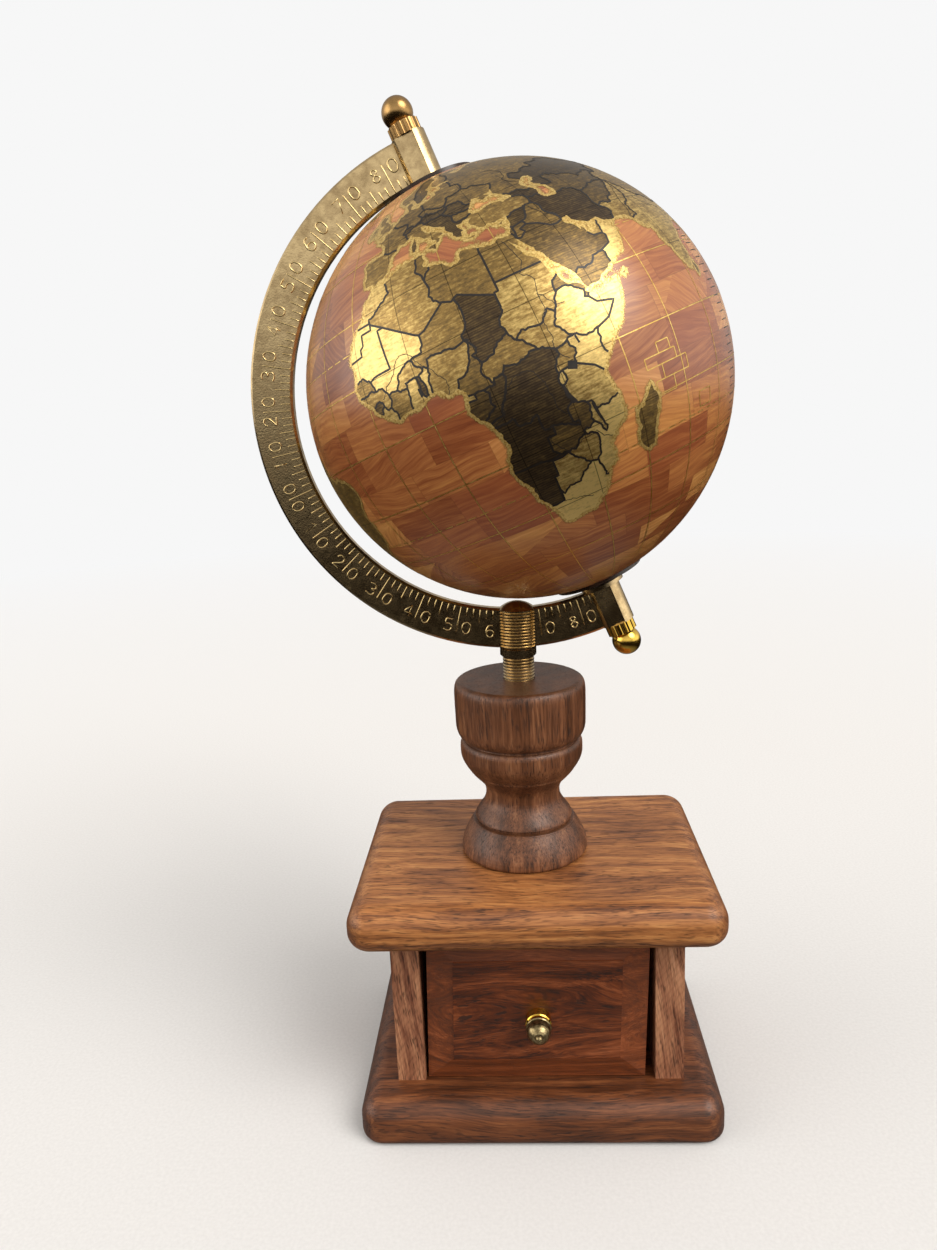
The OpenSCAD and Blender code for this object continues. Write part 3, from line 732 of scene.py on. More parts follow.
# %% [markdown]
# ## The sea
#
# The sea is printed to look like inlaid wood: small boards laid in rows along the parallels, each of
# another tone, with the grain mostly running east and west and here and there a three-cornered piece
# set across. Rows and boards come from rounding down the two angles. A White Noise node turns each
# board's number into its own tone, grain angle and offset. A clear varnish lies over all of it.

# %% Sea of inlaid wood
ROW_HIGH = 8.0
BOARD_LONG = 21.0
sea, tree, shader = new_material("inlaid_sea")
angles = place_group(tree, globe_angles, {"Vector": own_place(tree)})
sway = grain_noise(tree, own_place(tree), 26.0, 1.0)
north = calc(tree, "MULTIPLY_ADD", calc(tree, "SUBTRACT", sway, 0.5), 2.5, angles["North"])
row = calc(tree, "FLOOR", calc(tree, "DIVIDE", north, ROW_HIGH))
row_middle = calc(tree, "MULTIPLY", calc(tree, "ADD", row, 0.5), ROW_HIGH * math.pi / 180)
squeeze = calc(tree, "MAXIMUM", calc(tree, "COSINE", row_middle), 0.12)
row_luck = add(tree, "TexWhiteNoise", {"W": row}, noise_dimensions="1D").outputs["Value"]
across = calc(tree, "DIVIDE", calc(tree, "MULTIPLY", angles["East"], squeeze), BOARD_LONG)
across = calc(tree, "MULTIPLY_ADD", row_luck, 7.3, across)
number = calc(tree, "FLOOR", across)
part_along = calc(tree, "FRACT", across)
part_up = calc(tree, "FRACT", calc(tree, "DIVIDE", north, ROW_HIGH))
pair = add(tree, "CombineXYZ", {"X": number, "Y": row}).outputs[0]
luck = add(tree, "TexWhiteNoise", {"Vector": pair}, noise_dimensions="3D")
lucks = add(tree, "SeparateColor", {"Color": luck.outputs["Color"]}).outputs
cornered = calc(tree, "GREATER_THAN", lucks["Red"], 0.58)
slope = calc(tree, "MULTIPLY_ADD", lucks["Green"], 2.0, 0.4)
over = calc(tree, "GREATER_THAN", calc(tree, "MULTIPLY", part_along, slope), part_up)
second = calc(tree, "MULTIPLY", cornered, over)
pieces = add(tree, "CombineXYZ", {"X": number, "Y": row, "Z": second}).outputs[0]
own = add(tree, "TexWhiteNoise", {"Vector": pieces}, noise_dimensions="3D")
owns = add(tree, "SeparateColor", {"Color": own.outputs["Color"]}).outputs
flat_east = calc(tree, "MULTIPLY", angles["East"], squeeze)
spot = add(tree, "CombineXYZ", {"X": flat_east, "Y": north}).outputs[0]
small_turn = calc(tree, "MULTIPLY", calc(tree, "SUBTRACT", owns["Green"], 0.5), 0.5)
big_turn = calc(tree, "MULTIPLY_ADD", owns["Blue"], 1.6, -0.8)
grain_turn = calc(tree, "MULTIPLY_ADD", second, big_turn, small_turn)
lay = add(tree, "VectorRotate", {"Vector": spot, "Angle": grain_turn}, rotation_type="Z_AXIS").outputs[0]
lay = arrow(tree, "ADD", lay, arrow(tree, "MULTIPLY", own.outputs["Color"], (40.0, 40.0, 40.0)))
wander = add(tree, "TexNoise", {"Vector": lay, "Scale": 0.10, "Detail": 1.5}).outputs["Color"]
lay = arrow(tree, "ADD", lay, arrow(tree, "MULTIPLY", wander, (0.0, 3.0, 0.0)))
streak = grain_noise(tree, arrow(tree, "MULTIPLY", lay, (0.07, 1.3, 1.0)), 1.0, 5.0, 0.62, 0.1)
fibre = grain_noise(tree, arrow(tree, "MULTIPLY", lay, (0.5, 7.0, 1.0)), 1.0, 2.0)
tone = calc(tree, "MULTIPLY_ADD", owns["Red"], 0.46, 0.05)
tone = calc(tree, "MULTIPLY_ADD", spread(tree, streak, 0.3, 0.7), 0.38, tone)
tone = calc(tree, "MULTIPLY_ADD", fibre, 0.12, tone)
SEA_TONES = [(0.08, "#6e331a"), (0.3, "#8f4f2b"), (0.5, "#ad6c3c"), (0.72, "#c98c4c"), (0.95, "#e4ac68")]
colour = ramp(tree, tone, SEA_TONES)
pink = spread(tree, lucks["Blue"], 0.45, 0.8, 0.0, 0.25)
colour = blend(tree, pink, colour, tint("#a3583a"))
edge_along = calc(tree, "PINGPONG", part_along, 0.5)
edge_up = calc(tree, "PINGPONG", part_up, 0.5)
edge_along = calc(tree, "MULTIPLY", edge_along, BOARD_LONG)
seam = calc(tree, "MINIMUM", edge_along, calc(tree, "MULTIPLY", edge_up, ROW_HIGH))
seam = spread(tree, seam, 0.02, 0.16, 0.5, 0.0)
colour = blend(tree, calc(tree, "MULTIPLY", seam, lucks["Green"]), colour, tint("#4a2412"))
plug(tree, shader.inputs["Base Color"], colour)
rough = calc(tree, "MULTIPLY_ADD", grain_noise(tree, own_place(tree), 320.0, 3.0), 0.12, 0.26)
plug(tree, shader.inputs["Roughness"], rough)
shader.inputs["Coat Weight"].default_value = 0.35
shader.inputs["Coat Roughness"].default_value = 0.22
bumped(tree, shader, grain_noise(tree, own_place(tree), 900.0, 2.0), 0.06, 0.0001)
for node_name in ("north_shell", "south_shell", "equator_ring"):
    finish_node(node_name, sea)
print("sea nodes:", len(tree.nodes))

# %% [markdown]
# ## The pole discs
#
# A dark lacquered disc covers each pole, and the same lacquer is on the bushes below. It is nearly
# black, cloudy where it was wiped, and glossy enough to catch the lamp.

# %% Pole discs and bushes
disc_lacquer, tree, shader = new_material("disc_lacquer")
cloudy = grain_noise(tree, own_place(tree), 160.0, 4.0, 0.6)
plug(tree, shader.inputs["Base Color"], ramp(tree, cloudy, [(0.3, "#1b120c"), (0.7, "#3a2617")]))
plug(tree, shader.inputs["Roughness"], spread(tree, cloudy, 0.3, 0.7, 0.18, 0.34))
bumped(tree, shader, grain_noise(tree, own_place(tree), 1500.0), 0.1, 0.0001)
for node_name in ("north_disc", "south_disc", "north_bush", "south_bush"):
    finish_node(node_name, disc_lacquer)

# %% [markdown]
# ## The map
#
# The land is printed in gold foil over the wood, each country in its own depth of brown or gold,
# with heavy black borders and a bright, ragged gold fringe along the coasts. The map is kept as
# named lines of longitude and latitude. A border between two countries is one line that both use,
# so they always meet exactly. A name with a tilde is a stretch of coast. A name with a minus sign
# joins two countries; those that were drawn with a ruler are marked with an equals sign.

# %% Map lines: Africa
AFRICA_LINES = """
ma~: -2.2 35.1, -3 35.2, -4.3 35.2, -5.4 35.9, -6 35.7, -6.8 34, -8.3 33.2, -9.3 32.5, -9.8 31.4,
  -9.7 30.3, -10.3 29.3, -11.5 28.3, -13.1 27.7
eh~: -13.1 27.7, -13.9 26.6, -14.6 25.8, -15.9 23.8, -16.9 22, -17 20.9
mr~: -17 20.9, -16.3 20.2, -16.2 19.2, -16 18.2, -16.5 16
sn~: -16.5 16, -17.4 14.7, -16.7 13.6, -16.7 12.4
gn~: -16.7 12.4, -15.5 11.3, -15 10.9, -14.2 10.2, -13.3 9.1
sl~: -13.3 9.1, -13.2 8.3, -12.5 7.5, -11.5 6.9
lr~: -11.5 6.9, -10.5 6.2, -9 5, -7.5 4.35
ci~: -7.5 4.35, -5.8 5, -4 5.2, -3.1 5.1
gh~: -3.1 5.1, -2 4.75, -0.5 5.35, 1.2 6.1
tg~: 1.2 6.1, 1.7 6.2
bj~: 1.7 6.2, 2.7 6.35
ng~: 2.7 6.35, 4.3 6.3, 5.3 5.3, 6 4.35, 7.3 4.45, 8.5 4.7
cm~: 8.5 4.7, 9.2 4, 9.8 3.3, 9.8 2.3
gq~: 9.8 2.3, 9.4 1.1
ga~: 9.4 1.1, 9.3 0.2, 8.8 -0.8, 9.6 -2.4, 11.1 -3.95
cg~: 11.1 -3.95, 12 -5
cd~: 12 -5, 12.3 -6.1
ao~: 12.3 -6.1, 13.3 -8.3, 13 -9.2, 13.8 -10.7, 13.6 -12.3, 12.5 -13.6, 12.2 -15.2, 11.75 -17.25
na~: 11.75 -17.25, 12 -18.5, 13.4 -20.9, 14.4 -22.5, 14.5 -24.5, 15.1 -26.7, 16.45 -28.6
za~: 16.45 -28.6, 17.3 -30.6, 18.2 -32, 17.9 -33, 18.4 -34.2, 20 -34.8, 22.2 -34.1, 25.7 -34, 28 -33,
  30.4 -31, 31.3 -29.4, 32.5 -28.3, 32.9 -26.85
mz~: 32.9 -26.85, 32.8 -25.8, 35.3 -24.5, 35.5 -23, 35.4 -21.8, 34.8 -20, 36.3 -18.9, 38 -17.3,
  40 -16.1, 40.7 -14.5, 40.5 -12.5, 40.45 -10.5
tz~: 40.45 -10.5, 39.5 -9.1, 39.5 -7, 38.8 -6.1, 39.2 -4.7
ke~: 39.2 -4.7, 40.2 -2.8, 41.6 -1.65
so~: 41.6 -1.65, 43.5 0.6, 46 2.4, 48 4.5, 49.8 8, 51.1 10.4, 51.2 11.8, 48.9 11.3, 46.5 10.7,
  44.5 10.4, 43.25 11.5
er~: 43.25 11.5, 42.6 12, 43.1 12.7, 41.2 14.6, 39.7 15.1, 39.2 16, 38.6 18
sd~: 38.6 18, 37.4 19, 37.2 21, 36.9 22
eg~: 36.9 22, 35.6 23.9, 34.1 26.2, 33.4 27.8, 32.6 29.9, 33 29, 34.25 27.8, 34.9 29.5
eg~north: 34.25 31.3, 32.3 31.2, 31 31.5, 29.5 30.9, 27.5 31.2, 25.1 31.6
ly~: 25.1 31.6, 23.2 32.3, 21.6 32.8, 20.1 32.2, 20 30.9, 18.5 30.4, 16 31.2, 15.2 32.3, 13.2 32.9,
  11.5 33.15
tn~: 11.5 33.15, 10.3 33.8, 10.1 34.4, 11 35.3, 10.6 36.4, 11 37, 9.8 37.3, 8.6 36.9
dz~: 8.6 36.9, 6.3 37, 3 36.8, 0.3 36.1, -2.2 35.1
mg~: 49.3 -12, 50.5 -15.8, 49.5 -17, 49 -19, 47.6 -23.5, 47 -25, 45.2 -25.5, 43.7 -24.2, 43.3 -22,
  44.4 -20, 44 -17.5, 44.5 -16.1, 46.3 -15.7, 48 -13.6, 49.3 -12
ma-dz: -2.2 35.1, -1.7 33.2, -1.2 32.2, -3.8 30.9, -5.5 29.8, -8.67 28.7, -8.67 27.67
ma=eh: -8.67 27.67, -13.1 27.7
eh=dz: -8.67 27.67, -8.67 27.3
eh=mr: -8.67 27.3, -8.67 26, -12 26, -12 23.45, -13.1 22.8, -13 21.3, -17 20.9
dz=mr: -8.67 27.3, -4.8 25
mr=ml: -4.8 25, -6.6 25, -5.5 15.5, -9.3 15.5, -10.7 15.4, -12.2 14.8
dz=ml: -4.8 25, 1.8 20.6, 3.2 19.6, 4.2 19.1
dz=ne: 4.2 19.1, 5.8 19.5, 12 23.5
dz-ly: 12 23.5, 10.2 24.6, 9.4 26.2, 9.9 27.2, 9.9 29, 9.5 30.2
dz-tn: 9.5 30.2, 9 32.1, 7.6 33.5, 8.3 34.7, 8.3 36, 8.6 36.9
tn-ly: 9.5 30.2, 10.3 31.8, 11.5 32.4, 11.5 33.15
ly=eg: 25.1 31.6, 24.9 30.5, 25 29.2, 25 22
ly=sd: 25 22, 25 20, 24 20, 24 19.5
ly=td: 24 19.5, 19.8 21.5, 16 23.45, 15 23
ly=ne: 15 23, 14.2 22.6, 12 23.5
eg=sd: 25 22, 31.4 22, 36.9 22
eg-il: 34.9 29.5, 34.25 31.3
ne-td: 15 23, 15.5 21, 15.6 19.9, 15.5 16.9, 13.5 14.5, 13.6 13.7
ne-ng: 13.6 13.7, 12.3 13.1, 10 13.3, 7.8 13.3, 5.4 13.8, 4.1 13.5, 3.6 11.7
ne-bj: 3.6 11.7, 2.9 12.4, 2.4 12
ne-bf: 2.4 12, 1 13.3, 0.2 14.9
ne-ml: 0.2 14.9, 1.3 15.3, 3.5 15.4, 4.2 16.8, 4.2 19.1
ml-bf: 0.2 14.9, -1 14.9, -2.5 14.1, -4 13.3, -4.3 12, -5.4 10.4
ml-ci: -5.4 10.4, -6.5 10.5, -8 10.2
ml-gn: -8 10.2, -8.6 11.2, -9.3 12.4, -11.4 12.4
ml-sn: -11.4 12.4, -11.5 13.4, -12.2 14.8
sn-mr: -12.2 14.8, -14.5 16.6, -16.5 16
sn-gn: -11.4 12.4, -13.7 12.65, -16.7 12.4
gn-sl: -13.3 9.1, -11.2 10, -10.3 8.5
sl-lr: -11.5 6.9, -10.3 8.5
gn-lr: -10.3 8.5, -9.4 7.4, -8.5 7.6
lr-ci: -8.5 7.6, -7.4 5.8, -7.5 4.35
gn-ci: -8.5 7.6, -8 8.5, -8 10.2
ci-bf: -5.4 10.4, -4.7 9.7, -2.8 9.7
ci-gh: -2.8 9.7, -2.8 7.8, -3.2 6.3, -3.1 5.1
gh-bf: -2.8 9.7, -2.8 11, 0 11.1
bf-tg: 0 11.1, 0.9 11
bf-bj: 0.9 11, 2.4 12
gh-tg: 0 11.1, 0.4 8.5, 0.5 6.9, 1.2 6.1
tg-bj: 0.9 11, 1.6 9, 1.7 6.2
bj-ng: 2.7 6.35, 2.8 9, 3.7 10.3, 3.6 11.7
ng-cm: 8.5 4.7, 9.2 6.5, 11 6.7, 11.8 7.2, 12.8 8.6, 13.2 9.6, 14.2 12.4, 14.1 12.9
ng-td: 14.1 12.9, 13.6 13.7
cm-td: 14.1 12.9, 15.1 11.8, 15.2 10, 14 9.8, 15.5 7.5
td-cf: 15.5 7.5, 18.6 8.1, 19 9, 21.7 10.6, 22.9 11
td-sd: 22.9 11, 22.2 12.7, 22.5 14.2, 24 15.7, 24 19.5
cf-sd: 22.9 11, 24 8.7
cf-ss: 24 8.7, 25.5 7.8, 27.4 5.1
cm-cf: 15.5 7.5, 14.5 5.5, 16.2 2.2
cm-cg: 16.2 2.2, 13.3 2.2
cm-ga: 13.3 2.2, 11.3 2.2
cm-gq: 11.3 2.2, 9.8 2.3
gq=ga: 11.3 2.2, 11.3 1, 9.4 1.1
ga-cg: 13.3 2.2, 14.4 1, 13.8 -1, 14.4 -2, 11.1 -3.95
cg-cf: 16.2 2.2, 16.5 3.5, 18.6 3.5
cg-cd: 18.6 3.5, 17.9 0.5, 16.2 -2, 15.3 -4.3, 13 -4.7, 12 -5
cf-cd: 18.6 3.5, 19.5 5.1, 22.5 4.1, 25.5 5.3, 27.4 5.1
cd-ss: 27.4 5.1, 29.5 4.4, 30.9 3.5
cd-ug: 30.9 3.5, 31.3 2.2, 29.9 0.6, 29.6 -1.4
ug-rw: 29.6 -1.4, 30.5 -1.1
ug=tz: 30.5 -1.1, 31.8 -1, 33.9 -1
cd-rw: 29.6 -1.4, 29 -2.7, 29.3 -4.4
rw-tz: 30.5 -1.1, 30.8 -2.4, 30.8 -3.3, 29.3 -4.4
cd-tz: 29.3 -4.4, 29.5 -6.8, 30.7 -8.3
cd-zm: 30.7 -8.3, 28.9 -8.5, 28.4 -9.3, 28.6 -12, 29.8 -12.2, 29.8 -13.4, 28 -12.4, 24.9 -11.2, 24 -10.9
cd-ao: 24 -10.9, 22.2 -11.1, 21.8 -7.3, 17.6 -8.1, 16.6 -5.9, 12.3 -6.1
ao=zm: 24 -10.9, 24 -13, 22 -13, 22 -16.2, 23.4 -17.6
ao=na: 23.4 -17.6, 20.8 -18, 18.5 -17.4, 13.9 -17.4, 11.75 -17.25
zm-na: 23.4 -17.6, 25.2 -17.8
na=bw: 25.2 -17.8, 23.5 -18.3, 21 -18.3, 21 -22, 20 -22, 20 -24.8
na=za: 20 -24.8, 20 -28.4, 17.5 -28.8, 16.45 -28.6
bw-za: 20 -24.8, 20.7 -26.9, 22.7 -25.4, 25.5 -25.6, 26.9 -23.7, 29.4 -22.2
bw-zw: 29.4 -22.2, 27.7 -20.5, 25.2 -17.8
zm-zw: 25.2 -17.8, 27 -17.9, 28.8 -16, 30.4 -15.7
zw-mz: 30.4 -15.7, 32.9 -16.7, 32.8 -19.5, 32.4 -21.3, 31.3 -22.4
zw-za: 29.4 -22.2, 31.3 -22.4
za-mz: 31.3 -22.4, 31.9 -24.5, 32.1 -26.8, 32.9 -26.85
zm-mz: 30.4 -15.7, 30.2 -14.8, 33.2 -14
zm-mw: 33.2 -14, 32.7 -13, 33.3 -10.8, 32.9 -9.4
zm-tz: 32.9 -9.4, 30.7 -8.3
mw-tz: 32.9 -9.4, 34 -9.5, 34.7 -11.5
mw-mz: 34.7 -11.5, 34.9 -13.5, 35.8 -16, 35.2 -17.1, 34.3 -15, 33.2 -14
tz-mz: 34.7 -11.5, 37.5 -11.7, 40.45 -10.5
tz=ke: 33.9 -1, 37.6 -3, 39.2 -4.7
ke-ug: 33.9 -1, 34 0.3, 35 1.9, 34 4.2
ug-ss: 30.9 3.5, 34 4.2
ke-ss: 34 4.2, 35.9 4.7
ke-et: 35.9 4.7, 38.1 3.6, 39.6 3.5, 41.9 4
ke-so: 41.9 4, 41 2.8, 41 -0.9, 41.6 -1.65
et=so: 41.9 4, 45 5, 48 8, 44 9, 42.8 10.6
er-so: 42.8 10.6, 43.25 11.5
et-ss: 35.9 4.7, 33 7.8, 34.3 10.6
et-sd: 34.3 10.6, 35.1 11.9, 36.4 14.3
et-er: 36.4 14.3, 37.9 14.9, 40.2 14.4, 42.4 12.5, 41.8 11, 42.8 10.6
sd-er: 36.4 14.3, 36.9 17, 38.6 18
sd-ss: 24 8.7, 26 10.2, 29 9.6, 31 9.8, 33 12, 34.3 10.6
"""

